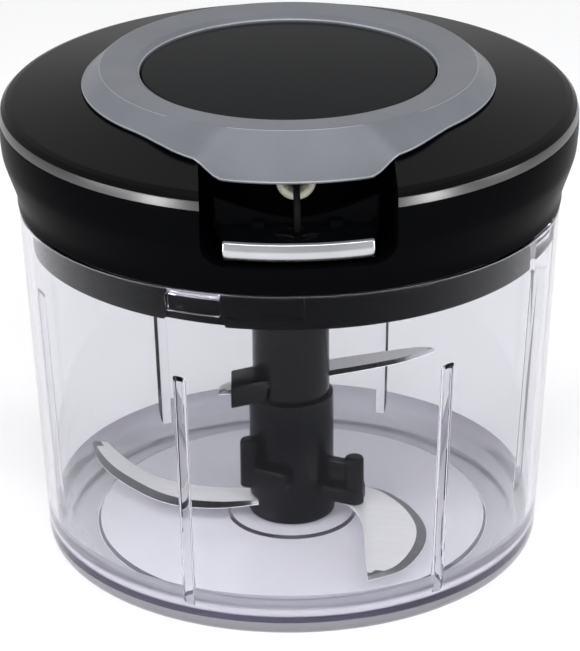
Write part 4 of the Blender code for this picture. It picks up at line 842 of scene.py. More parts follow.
@dataclass
class LidBase:
    """Underside of the lid: plate, collar and the skirt with its bayonet channels."""

    finishes: Finishes
    bowl: Bowl
    skirt_gap: float = 0.5
    skirt_low: float = 81.3
    skirt_thickness: float = 3.9
    plate_low: float = 88.9
    plate_top: float = 90.9
    flange_low: float = 92.7
    flange_top: float = 94.4
    flange_radius: float = 65.3
    collar_radius: float = 12.6
    collar_wall: float = 1.6
    collar_drop: float = 3.0
    bush_hole: float = 5.4
    lock_angle: float = 16.5
    angle_gap: float = 1.0
    clearance: float = 0.3
    screw_count: int = 4
    screw_circle: float = 54.0
    screw_direction: float = 45.0
    screw_shank: float = 1.2
    screw_head: float = 2.7
    screw_head_height: float = 1.8
    screw_length: float = 11.0

    def section(self) -> List[Flat]:
        """Returns the closed section of the lid's base."""
        outer = self.bowl.inner(self.skirt_low) - self.skirt_gap
        inner = outer - self.skirt_thickness
        collar_low = self.plate_low - self.collar_drop
        collar_inner = self.collar_radius - self.collar_wall
        corners = [(self.bush_hole, self.plate_low, 0.0), (collar_inner, self.plate_low, 0.4)]
        corners += [(collar_inner, collar_low, 0.5), (self.collar_radius, collar_low, 0.5)]
        corners += [(self.collar_radius, self.plate_low, 0.6), (inner, self.plate_low, 0.8)]
        corners += [(inner, self.skirt_low, 0.6), (outer, self.skirt_low, 0.9), (outer, self.flange_low, 0.3)]
        corners += [(self.flange_radius, self.flange_low, 0.3), (self.flange_radius, self.flange_top, 0.3)]
        corners += [(inner, self.flange_top, 0.3), (inner, self.plate_top, 0.3), (self.bush_hole, self.plate_top, 0.0)]
        return soft_corners(corners, True, 4)

    def slots(self, run: float, low: float, high: float) -> bpy.types.Object:
        """Models tools for the channels that the bowl's lugs run in.

        Args:
            run: how far the channels go on past the lugs, in degrees.
            low: bottom of the tools.
            high: top of the tools.

        Returns:
            The tools, joined.
        """
        bowl = self.bowl
        inner = bowl.inner(bowl.lug_low) - bowl.lug_reach - self.clearance
        tools = []
        for index in range(bowl.lug_count):
            start = bowl.lug_direction - bowl.lug_half_angle - self.angle_gap + 360.0 * index / bowl.lug_count
            end = start + 2 * (bowl.lug_half_angle + self.angle_gap) + run
            tools.append(Bench.pressed(f"channel_{index}", sector(inner, 66.0, start, end, 12), low, high))
        return Bench.joined(tools)

    def screws(self) -> None:
        """Models one cross-head screw and copies it to its four places."""
        low = self.plate_low - self.clearance - self.screw_head_height
        high = self.plate_low - self.clearance
        end = self.plate_low + self.screw_length
        corners = [(0.0, low, 0.0), (self.screw_head * 0.75, low, 0.5), (self.screw_head, low + 0.8, 0.4)]
        corners += [(self.screw_head, high, 0.1), (self.screw_shank, high, 0.1)]
        corners += [(self.screw_shank, end - 1.2, 0.1), (0.0, end, 0.0)]
        screw = Bench.turned("housing_screw", soft_corners(corners, False, 3), False, 32)
        for length, width in ((3.0, 0.7), (0.7, 3.0)):
            outline = [(-length / 2, -width / 2), (length / 2, -width / 2), (length / 2, width / 2),
                       (-length / 2, width / 2)]
            Bench.combined(screw, Bench.pressed("cross_tool", outline, low - 1.0, low + 1.1), Joining.CUT)
        Bench.smoothed(screw)
        for index in range(self.screw_count):
            place = around(self.screw_circle, self.screw_direction + 360.0 * index / self.screw_count) * MM
            name = f"housing_screw_{index + 1}"
            copy = Bench.copied(screw, f"{name}_turned", Matrix.Translation(place))
            dressed(copy, self.finishes.turned_steel, Body.LID, "bright_steel", name)
        bpy.data.objects.remove(screw, do_unlink=True)

    def build(self) -> None:
        """Models and dresses the lid's base and its screws."""
        bowl = self.bowl
        base = Bench.turned("lid_base_shell", self.section(), True, 144)
        low = bowl.lug_low - self.clearance
        high = bowl.lug_low + bowl.lug_height + self.clearance
        Bench.combined(base, self.slots(self.lock_angle, low, high), Joining.CUT)
        Bench.combined(base, self.slots(0.0, self.skirt_low - 2.0, high - 1.3), Joining.CUT)
        holes = []
        for index in range(self.screw_count):
            place = around(self.screw_circle, self.screw_direction + 360.0 * index / self.screw_count)
            outline = circle((place[0], place[1]), self.screw_shank + self.clearance, 24)
            holes.append(Bench.pressed(f"hole_{index}", outline, self.plate_low - 1.0, self.plate_top + 1.0))
        Bench.combined(base, Bench.joined(holes), Joining.CUT)
        Bench.smoothed(base)
        dressed(base, self.finishes.wall_black, Body.LID, "gloss_black", "lid_base")
        self.screws()


@dataclass
class Seal:
    """Pale seal between the bowl's rim and the lid."""

    finishes: Finishes
    inner: float = 63.5
    outer: float = 65.2
    low: float = 90.9
    high: float = 92.4

    def build(self) -> None:
        """Models and dresses the seal."""
        middle = (self.low + self.high) / 2
        corners = [(self.inner, self.low, 0.3), (self.outer - 0.4, self.low, 0.3), (self.outer, middle, 0.4)]
        corners += [(self.outer - 0.4, self.high, 0.3), (self.inner, self.high, 0.3)]
        seal = Bench.turned("seal_band", soft_corners(corners, True, 3), True, 144)
        Bench.smoothed(seal, 60.0)
        dressed(seal, self.finishes.seal, Body.SEAL, "clear_rubber", "seal_ring")


@dataclass
class LidHousing:
    """Top shell of the lid with the recess for the handle."""

    finishes: Finishes
    radius: float = 70.0
    low: float = 91.2
    foot_radius: float = 66.3
    lip: float = 0.7
    wall: float = 2.0
    rim_height: float = 113.4
    rim_width: float = 3.5
    rim_reach: float = 1.2
    rim_flat: float = 0.97
    upright: float = 0.1
    shoulder_height: float = 118.6
    shoulder_radius: float = 50.5
    top_plate: float = 2.2
    bore: float = 3.3
    bore_depth: float = 1.3
    recess_half_width: float = 22.4
    recess_back: float = 47.4
    recess_floor: float = 98.4
    recess_corner: float = 5.5
    recess_wall: float = 1.8
    post_radius: float = 3.6
    post_circle: float = 54.0
    pilot_radius: float = 1.5
    pilot_top: float = 100.2
    cord_height: float = 112.2
    neck_radius: float = 3.9

    def outer_section(self) -> List[Corner]:
        """Returns the outer face from the foot to the shoulder, with rounded corners."""
        drop = self.radius - self.foot_radius
        flare = [(0.02, 2.0), (0.17, 4.3), (0.44, 7.3), (0.71, 10.3), (0.9, 13.0), (1.0, 17.8)]
        points = [(self.foot_radius, self.low)]
        points += [(self.foot_radius + drop * share, self.low + rise) for share, rise in flare]
        points.append((self.radius, self.rim_height - 1.0))
        smooth = [(min(point[0], self.radius), point[1], 0.0) for point in flowing(points, 3)]
        rim = [(self.radius - 0.5, self.rim_height + 1.0, 0.4), (self.radius - 1.6, self.rim_height + 2.1, 0.7)]
        return smooth + rim + [(self.radius - 3.0, self.rim_height + 2.6, 1.0),
                               (self.shoulder_radius, self.shoulder_height, 0.0)]

    def recess(self, name: str, half_width: float, back: float, floor: float, ceiling: float,
               front: float) -> bpy.types.Object:
        """Models the solid of the recess: rounded below and curved at the back.

        Args:
            name: the tool's name.
            half_width: half of its width.
            back: radius of its curved back.
            floor: height of its floor.
            ceiling: height of its top.
            front: how far it runs out to the front.

        Returns:
            The solid.
        """
        corners = [(-half_width, ceiling, 0.0), (-half_width, floor, self.recess_corner)]
        corners += [(half_width, floor, self.recess_corner), (half_width, ceiling, 0.0)]
        outline = soft_corners(corners, True, 10)
        solid = Bench.pressed(name, outline, -front, -10.0, lambda x, z: Vector((x, 0.0, z)),
                              Vector((0.0, 1.0, 0.0)))
        rear = Bench.pressed(f"{name}_rear", circle((0.0, 0.0), back, 144), floor - 5.0, ceiling + 5.0)
        Bench.combined(solid, rear, Joining.CUT)
        return solid

    def on_rim(self, place: Vector, normal: Vector, area: float) -> bool:
        """Returns whether a face lies on the rim's rounding."""
        outside = math.hypot(place[0], place[1]) > self.radius - self.rim_width
        return outside and abs(place[2] - self.rim_height) < self.rim_reach and (
            self.upright < normal[2] < self.rim_flat)

    def posts(self, name: str, radius: float, low: float, high: float) -> bpy.types.Object:
        """Models four round posts on the screw circle, joined."""
        posts = []
        for index in range(4):
            place = around(self.post_circle, 45.0 + 90.0 * index)
            posts.append(Bench.pressed(f"{name}_{index}", circle((place[0], place[1]), radius, 32), low, high))
        return Bench.joined(posts)

    def build(self) -> None:
        """Models and dresses the housing."""
        outer = self.outer_section()
        solid = soft_corners([(0.0, self.low, 0.0)] + outer + [(0.0, self.shoulder_height, 0.0)], False, 4)
        housing = Bench.turned("lid_housing_shell", solid, False, 144)
        lip_radius = self.foot_radius - self.lip
        under = self.shoulder_height - self.top_plate
        inner = [(0.0, self.low - 2.0, 0.0), (lip_radius, self.low - 2.0, 0.0), (lip_radius, self.low + 4.3, 0.0)]
        inner += [(radius - self.wall, height, 0.0) for radius, height, _ in outer if
                  self.low + 7.0 < height < self.rim_height - 0.9]
        inner += [(self.radius - 3.4, self.rim_height, 0.0), (self.shoulder_radius, under, 0.0)]
        inner += [(self.bore, under, 0.0), (self.bore, under + self.bore_depth, 0.0)]
        inner += [(0.0, under + self.bore_depth, 0.0)]
        cavity = Bench.turned("lid_cavity", [(r, z) for r, z, _ in inner], False, 96)
        walls = self.recess("recess_walls", self.recess_half_width + self.recess_wall,
                            self.recess_back - self.recess_wall, self.recess_floor - self.recess_wall, 140.0, 80.0)
        Bench.combined(cavity, walls, Joining.CUT)
        Bench.combined(cavity, self.posts("post", self.post_radius, self.low, 130.0), Joining.CUT)
        Bench.combined(housing, cavity, Joining.CUT)
        opening = self.recess("recess_opening", self.recess_half_width, self.recess_back, self.recess_floor,
                              140.0, 80.0)
        Bench.combined(housing, opening, Joining.CUT)
        Bench.combined(housing, self.posts("pilot", self.pilot_radius, self.low - 1.0, self.pilot_top), Joining.CUT)
        neck = Bench.pressed("neck", circle((0.0, self.cord_height), self.neck_radius, 32), -self.recess_back - 2.0,
                             -self.recess_back + 6.0, lambda x, z: Vector((x, 0.0, z)), Vector((0.0, 1.0, 0.0)))
        Bench.combined(housing, neck, Joining.CUT)
        Bench.smoothed(housing)
        dressed(housing, self.finishes.satin_black, Body.LID, "satin_black", "lid_housing")
        part_finish(housing, self.finishes.rim_black, self.on_rim)
        part_finish(housing, self.finishes.wall_black, lambda place, normal, area: normal[2] < self.upright)


@dataclass
class LidTop:
    """Grey ring with its visor over the recess, and the glossy cap disc inside it."""

    finishes: Finishes
    radius: float = 50.0
    top: float = 123.6
    crest: float = 45.0
    inner: float = 35.9
    foot: float = 118.9
    wall: float = 2.2
    reach: float = 6.0
    reach_angle: float = 49.0
    reach_blend: float = 29.0
    drop: float = 4.2
    drop_angle: float = 25.6
    drop_blend: float = 8.0
    gap: float = 0.3
    rim: Flat = (67.0, 116.0)
    shoulder: Flat = (50.5, 118.6)
    cap_radius: float = 35.5
    # edge_face, edge_steep and edge_flat pick the ring's rounded edges that get the lighter painted highlight grey.
    edge_face: float = 0.55
    edge_steep: float = 0.15
    edge_flat: float = 0.85
    cap_edge: float = 121.7
    cap_crown: float = 0.7

    @staticmethod
    def share(direction: float, half_angle: float, blend: float) -> float:
        """Returns a smooth share that is 1 at the front and 0 past a half angle."""
        offset = abs((direction + 180.0) % 360.0 - 180.0)
        t = min(max((half_angle - offset) / blend, 0.0), 1.0)
        return t * t * (3.0 - 2.0 * t)

    def level(self, radius: float) -> float:
        """Returns the height of the lid's sloping shoulder at a radius."""
        share = (radius - self.shoulder[0]) / (self.rim[0] - self.shoulder[0])
        return self.shoulder[1] + (self.rim[1] - self.shoulder[1]) * max(share, 0.0)

    def ring_section(self, direction: float) -> List[Flat]:
        """Draws the closed section of the ring, open below.

        Args:
            direction: where the section is taken; at the front it is drawn out and down.

        Returns:
            The section's points, as many in every direction.
        """
        outer = self.radius + self.reach * self.share(direction, self.reach_angle, self.reach_blend)
        foot_inner = outer - self.wall
        low = self.level(foot_inner) + self.gap
        low -= self.drop * self.share(direction, self.drop_angle, self.drop_blend)
        ceiling = self.top - self.wall
        inner_wall = self.inner + self.wall
        foot = Vector((outer, low + 0.5))
        crest = Vector((self.crest + 0.35, self.top))
        corners = [(foot_inner, low, 0.2), (outer - 0.25, low, 0.35), (outer, low + 0.5, 0.45)]
        for share in (0.2, 0.35, 0.5, 0.65, 0.8):
            corners.append((*foot.lerp(crest, share), 0.0))
        corners += [(self.crest + 0.35, self.top, 0.8), (self.inner + 1.5, self.top - 0.65, 0.8)]
        corners += [(self.inner, self.top - 1.5, 0.5), (self.inner, self.foot, 0.2), (inner_wall, self.foot, 0.2)]
        corners += [(inner_wall, ceiling - 0.55, 0.4), (self.crest - 1.1, ceiling, 0.5)]
        return braced(soft_corners(corners, True, 5), True)

    def draw_visor(self, ring: bpy.types.Object) -> None:
        """Draws the ring's front out and down into the visor.

        Args:
            ring: the plain turned ring.
        """
        plain = [Vector(point) for point in self.ring_section(180.0)]
        for vert in ring.data.vertices:
            point = vert.co / MM
            place = Vector((math.hypot(point[0], point[1]), point[2]))
            direction = math.degrees(math.atan2(point[0], -point[1]))
            nearest = min(range(len(plain)), key=lambda index: (plain[index] - place).length)
            radius, height = self.ring_section(direction)[nearest]
            vert.co = around(radius, direction, height) * MM

    def build(self) -> None:
        """Models and dresses the ring and the cap disc."""
        ring = Bench.turned("visor_ring_shell", self.ring_section(180.0), True, 216)
        self.draw_visor(ring)
        Bench.smoothed(ring, 40.0)
        dressed(ring, self.finishes.satin_grey, Body.LID, "satin_grey", "visor_ring")
        # The ring's rounded edges get a lighter grey than the ring: painted highlight, with real reflection from its
        # high specular level.
        part_finish(ring, self.finishes.painted_highlight_grey, lambda place, normal, area: (
            area < self.edge_face and self.edge_steep < normal[2] < self.edge_flat))
        edge = self.cap_edge
        corners = [(0.0, self.foot, 0.0), (self.cap_radius, self.foot, 0.2), (self.cap_radius, edge, 0.45)]
        crown = [(self.cap_radius * (1.0 - step / 8), edge + self.cap_crown * (1.0 - (1.0 - step / 8) ** 2))
                 for step in range(1, 9)]
        section = soft_corners(corners + [(r, z, 0.0) for r, z in crown], False, 4)
        cap = Bench.turned("cap_disc_crowned", section, False, 144)
        Bench.smoothed(cap, 40.0)
        dressed(cap, self.finishes.cap_black, Body.LID, "gloss_black", "cap_disc")


@dataclass
class CordGuide:
    """Cream eyelet, and the cord from the reel to the handle."""

    finishes: Finishes
    back: float = 44.6
    wall_face: float = 47.7
    flange: float = 1.5
    bore: float = 2.9
    neck: float = 3.6
    radius: float = 4.6
    height: float = 112.2
    cord_radius: float = 0.8
    drum_radius: float = 15.1
    pitch: float = 2.15
    turns: int = 5
    loop_points: int = 48
    hole_front: float = 56.6
    handle_top: float = 103.4
    plate: float = 1.5

    def eyelet(self) -> None:
        """Models and dresses the eyelet."""
        front = self.wall_face + self.flange
        corners = [(self.bore, self.back, 0.3), (self.neck, self.back, 0.2), (self.neck, self.wall_face, 0.1)]
        corners += [(self.radius, self.wall_face, 0.1), (self.radius, front, 0.6), (self.bore, front, 0.75)]
        eyelet = Bench.turned("cord_eyelet_ring", soft_corners(corners, True, 5), True, 64,
                              lambda radius, depth: Vector((radius, -depth, self.height)),
                              Vector((0.0, 0.0, self.height)), Vector((0.0, 1.0, 0.0)))
        Bench.smoothed(eyelet, 40.0)
        dressed(eyelet, self.finishes.cream, Body.LID, "cream_plastic", "cord_eyelet")

    def route(self) -> List[Vector]:
        """Returns the cord's route: its turns, the run to the eyelet and the drop to the handle."""
        wall_back = self.wall_face - 0.3 - 1.8
        last = 180.0 + math.degrees(math.asin(self.drum_radius / wall_back))
        count = self.turns * self.loop_points
        points = []
        for index in range(count + 1):
            turns_left = self.turns * (count - index) / count
            angle = math.radians(last - 360.0 * turns_left)
            across = self.drum_radius * math.cos(angle)
            points.append(Vector((across, self.drum_radius * math.sin(angle), self.height - self.pitch * turns_left)))
        start = points[-1]
        entry = Vector((0.0, -(wall_back - 1.6), self.height))
        front = self.wall_face + self.flange
        way = [start.lerp(entry, share) for share in (0.0, 0.35, 0.7)]
        way += [entry, Vector((0.0, -front, self.height)), Vector((0.0, -front - 3.2, self.height - 1.3))]
        way += [Vector((0.0, -self.hole_front + 0.7, self.height - 4.4))]
        way += [Vector((0.0, -self.hole_front, self.handle_top + 1.5))]
        way += [Vector((0.0, -self.hole_front, self.handle_top - self.plate))]
        return points + flowing(way, 6)[1:]

    def cord(self) -> None:
        """Models and dresses the cord."""
        points = self.route()
        curve = bpy.data.curves.new("pull_cord_braid", "CURVE")
        curve.dimensions = "3D"
        curve.bevel_depth = self.cord_radius * MM
        curve.bevel_resolution = 3
        curve.use_fill_caps = True
        spline = curve.splines.new("POLY")
        spline.points.add(len(points) - 1)
        for place, point in zip(spline.points, points):
            place.co = (*(point * MM), 1.0)
        cord = bpy.data.objects.new("pull_cord_braid", curve)
        bpy.context.scene.collection.objects.link(cord)
        Bench.only(cord)
        bpy.ops.object.convert(target="MESH")
        cord = bpy.context.active_object
        Bench.smoothed(cord, 60.0)
        cord.data.materials.clear()
        cord.data.materials.append(self.finishes.cord)
        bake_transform(cord)
        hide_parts("pull_cord")
        log.info("pull_cord_braid: stretches from the lid to the handle")

    def build(self) -> None:
        """Models and dresses the eyelet and the cord."""
        self.eyelet()
        self.cord()


@dataclass
class Handle:
    """Pull handle with its bright bar."""

    finishes: Finishes
    half_width: float = 17.3
    rear_half_width: float = 19.0
    rear: float = 51.0
    top: float = 103.4
    low: float = 98.7
    plate: float = 1.5
    front_radius: float = 64.6
    web: float = 2.4
    wall: float = 1.5
    wall_dip: float = 104.6
    wall_rise: float = 5.6
    foot_chamfer: float = 2.4
    trim_thickness: float = 1.7
    trim_height: float = 4.4
    painted_shade_rise: float = 0.6
    # Faces of the bar whose normal rises more than this get the painted shade grey.
    hole_front: float = 56.6
    hole_radius: float = 1.1
    pocket_radius: float = 2.3
    tab_offset: float = 9.0

    def plate_piece(self) -> bpy.types.Object:
        """Returns the handle's plate with its curved front."""
        reach = math.degrees(math.asin(self.half_width / self.front_radius))
        outline = []
        for step in range(17):
            point = around(self.front_radius, reach * (2.0 * step / 16 - 1.0))
            outline.append((point[0], point[1]))
        half = self.rear_half_width
        outline += [(half, -self.rear - 3.0), (half, -self.rear), (-half, -self.rear), (-half, -self.rear - 3.0)]
        return Bench.pressed("pull_handle_grip", outline, self.top - self.plate, self.top)

    def rear_wall(self) -> bpy.types.Object:
        """Returns the scooped wall behind the plate."""
        half = self.rear_half_width - 0.1
        crest = []
        for step in range(17):
            share = 1.0 - step / 8
            crest.append((share * half, self.wall_dip + self.wall_rise * abs(share) ** 1.5))
        foot = self.rear_half_width - self.foot_chamfer
        outline = crest + [(-half, self.low + self.foot_chamfer), (-foot, self.low), (foot, self.low)]
        outline += [(half, self.low + self.foot_chamfer)]
        return Bench.pressed("handle_wall", outline, -self.rear - self.wall, -self.rear - 0.05,
                             lambda x, z: Vector((x, 0.0, z)), Vector((0.0, 1.0, 0.0)))

    def build(self) -> None:
        """Models and dresses the handle and its bar."""
        grip = self.plate_piece()
        reach = math.degrees(math.asin(self.half_width / self.front_radius)) - 0.4
        outline = sector(self.front_radius - self.web, self.front_radius - 0.05, -reach, reach, 16)
        Bench.combined(grip, Bench.pressed("handle_web", outline, self.low, self.top - 0.3), Joining.FUSE)
        Bench.combined(grip, self.rear_wall(), Joining.FUSE)
        for side in (1.0, -1.0):
            x, y = side * self.tab_offset, -self.rear - 3.6
            outline = [(x - 1.5, y - 0.8), (x + 1.5, y - 0.8), (x + 1.5, y + 0.8), (x - 1.5, y + 0.8)]
            tab = Bench.pressed("handle_tab", outline, self.top - 0.6, self.top + 1.5)
            Bench.combined(grip, tab, Joining.FUSE)
        place = (0.0, -self.hole_front)
        boss = Bench.pressed("handle_boss", circle(place, self.pocket_radius + 0.9, 32), self.low, self.top - 0.4)
        Bench.combined(grip, boss, Joining.FUSE)
        hole = Bench.pressed("cord_hole", circle(place, self.hole_radius, 24), self.low - 1.0, self.top + 1.0)
        Bench.combined(grip, hole, Joining.CUT)
        pocket_top = self.top - self.plate - 0.3
        pocket = Bench.pressed("crimp_pocket", circle(place, self.pocket_radius, 32), self.low - 1.0, pocket_top)
        Bench.combined(grip, pocket, Joining.CUT)
        Bench.eased(grip, 0.25, 2, 40.0)
        Bench.smoothed(grip)
        dressed(grip, self.finishes.gloss_black, Body.HANDLE, "gloss_black", "pull_handle")
        self.bar()

    def bar(self) -> None:
        """Models and dresses the bright bar along the handle's front, with painted shade on its top."""
        inner = self.front_radius + 0.3
        outer = inner + self.trim_thickness
        high = self.top + 0.3
        low = high - self.trim_height
        corners = [(inner, low, 0.4), (outer - 0.45, low, 0.6), (outer, (low + high) / 2, 2.5)]
        section = soft_corners(corners + [(outer - 0.45, high, 0.6), (inner, high, 0.4)], True, 5)
        reach = math.degrees(math.asin(self.half_width / ((inner + outer) / 2)))
        bar = Bench.turned("handle_bar", section, True, 40, angle=2.0 * reach)
        middle = sum((vert.co for vert in bar.data.vertices), Vector((0.0, 0.0, 0.0)))
        bar.data.transform(Matrix.Rotation(math.radians(-90.0) - math.atan2(middle[1], middle[0]), 4, "Z"))
        Bench.eased(bar, 0.5, 3, 60.0)
        Bench.smoothed(bar, 40.0)
        dressed(bar, self.finishes.chrome, Body.HANDLE, "chrome", "handle_trim")
        # The bar's upward faces get the satin grey instead of chrome: painted shade for the darker top of the bar.
        part_finish(bar, self.finishes.satin_grey, lambda place, normal, area: normal[2] > self.painted_shade_rise)


@dataclass
class Blade:
    """A flat blade: its edge, its back and the band ground along the edge."""

    name: str
    node: str
    edge: List[Flat]
    back: List[Flat]
    height: float
    thickness: float = 1.0
    ground: float = 2.6
    rise: float = 0.0
    rise_start: float = 30.0
    rise_end: float = 56.0
    stations: int = 48
    straight: Tuple[Flat, ...] = ()
    band_share: float = 0.7
    upward: float = 0.2

    def sweep(self, point: Vector) -> float:
        """Returns how far the blade has swept up at a point."""
        share = (Vector((point[0], point[1])).length - self.rise_start) / (self.rise_end - self.rise_start)
        return self.rise * min(max(share, 0.0), 1.0) ** 2

    def build(self, steel: bpy.types.Material, ground: bpy.types.Material) -> None:
        """Models and dresses the blade.

        Args:
            steel: the blade's finish.
            ground: finish of the band ground along its edge, a darker steel that is painted shade.
        """
        edge = evenly([Vector(point) for point in self.straight] + flowing(self.edge, 8), self.stations)
        back = evenly(flowing(self.back, 8), self.stations)
        line = []
        for index, (near, far) in enumerate(zip(edge, back)):
            taper = math.sin(math.pi * min(max(index / self.stations, 0.02), 0.98)) ** 0.5
            width = (far - near).length
            line.append(near.lerp(far, min(self.ground * taper / max(width, 0.01), 0.45)))
        middle = [near.lerp(far, 0.5) for near, far in zip(line, back)]
        chains = [edge, line, middle, back]
        sheet = Bench.trace(self.name, [lying(*point) for point in chains[0]], False)
        bpy.ops.object.mode_set(mode="OBJECT")
        strips = [sheet]
        for chain in chains[1:]:
            strips.append(Bench.trace(f"{self.name}_strip", [lying(*point) for point in chain], False))
            bpy.ops.object.mode_set(mode="OBJECT")
        sheet = Bench.joined(strips)
        bpy.ops.object.mode_set(mode="EDIT")
        count = self.stations + 1
        for strip in range(len(chains) - 1):
            mesh = bmesh.from_edit_mesh(sheet.data)
            mesh.verts.ensure_lookup_table()
            wanted = set(range(strip * count, (strip + 2) * count))
            for vert in mesh.verts:
                vert.select = vert.index in wanted
            mesh.select_flush_mode()
            for drawn in mesh.edges:
                drawn.select = drawn.verts[0].select and drawn.verts[1].select and not drawn.link_faces or (
                    len(drawn.link_faces) == 1 and drawn.verts[0].index // count == strip
                    and drawn.verts[1].index // count == strip)
            bmesh.update_edit_mesh(sheet.data)
            bpy.ops.mesh.select_mode(type="EDGE")
            bpy.ops.mesh.bridge_edge_loops()
            bpy.ops.mesh.select_mode(type="VERT")
        bpy.ops.mesh.select_all(action="SELECT")
        bpy.ops.mesh.extrude_region_move(TRANSFORM_OT_translate={"value": (0.0, 0.0, self.thickness * MM)})
        Bench.close_up(sheet)
        keen = {(round(point[0], 3), round(point[1], 3)) for point in edge}
        for vert in sheet.data.vertices:
            point = vert.co / MM
            on_edge = (round(point[0], 3), round(point[1], 3)) in keen
            level = min(point[2], 0.15) if on_edge and point[2] > 0.5 else point[2]
            vert.co[2] = (self.height + level + self.sweep(point)) * MM
        Bench.smoothed(sheet, 14.0)
        dressed(sheet, steel, Body.KNIVES, "bright_steel", self.node)
        # The band along the edge gets the darker steel: painted shade on the real ground bevel.
        part_finish(sheet, ground, lambda place, normal, area: normal[2] > self.upward and min(
            math.hypot(place[0] - point[0], place[1] - point[1]) for point in edge) < self.ground * self.band_share)


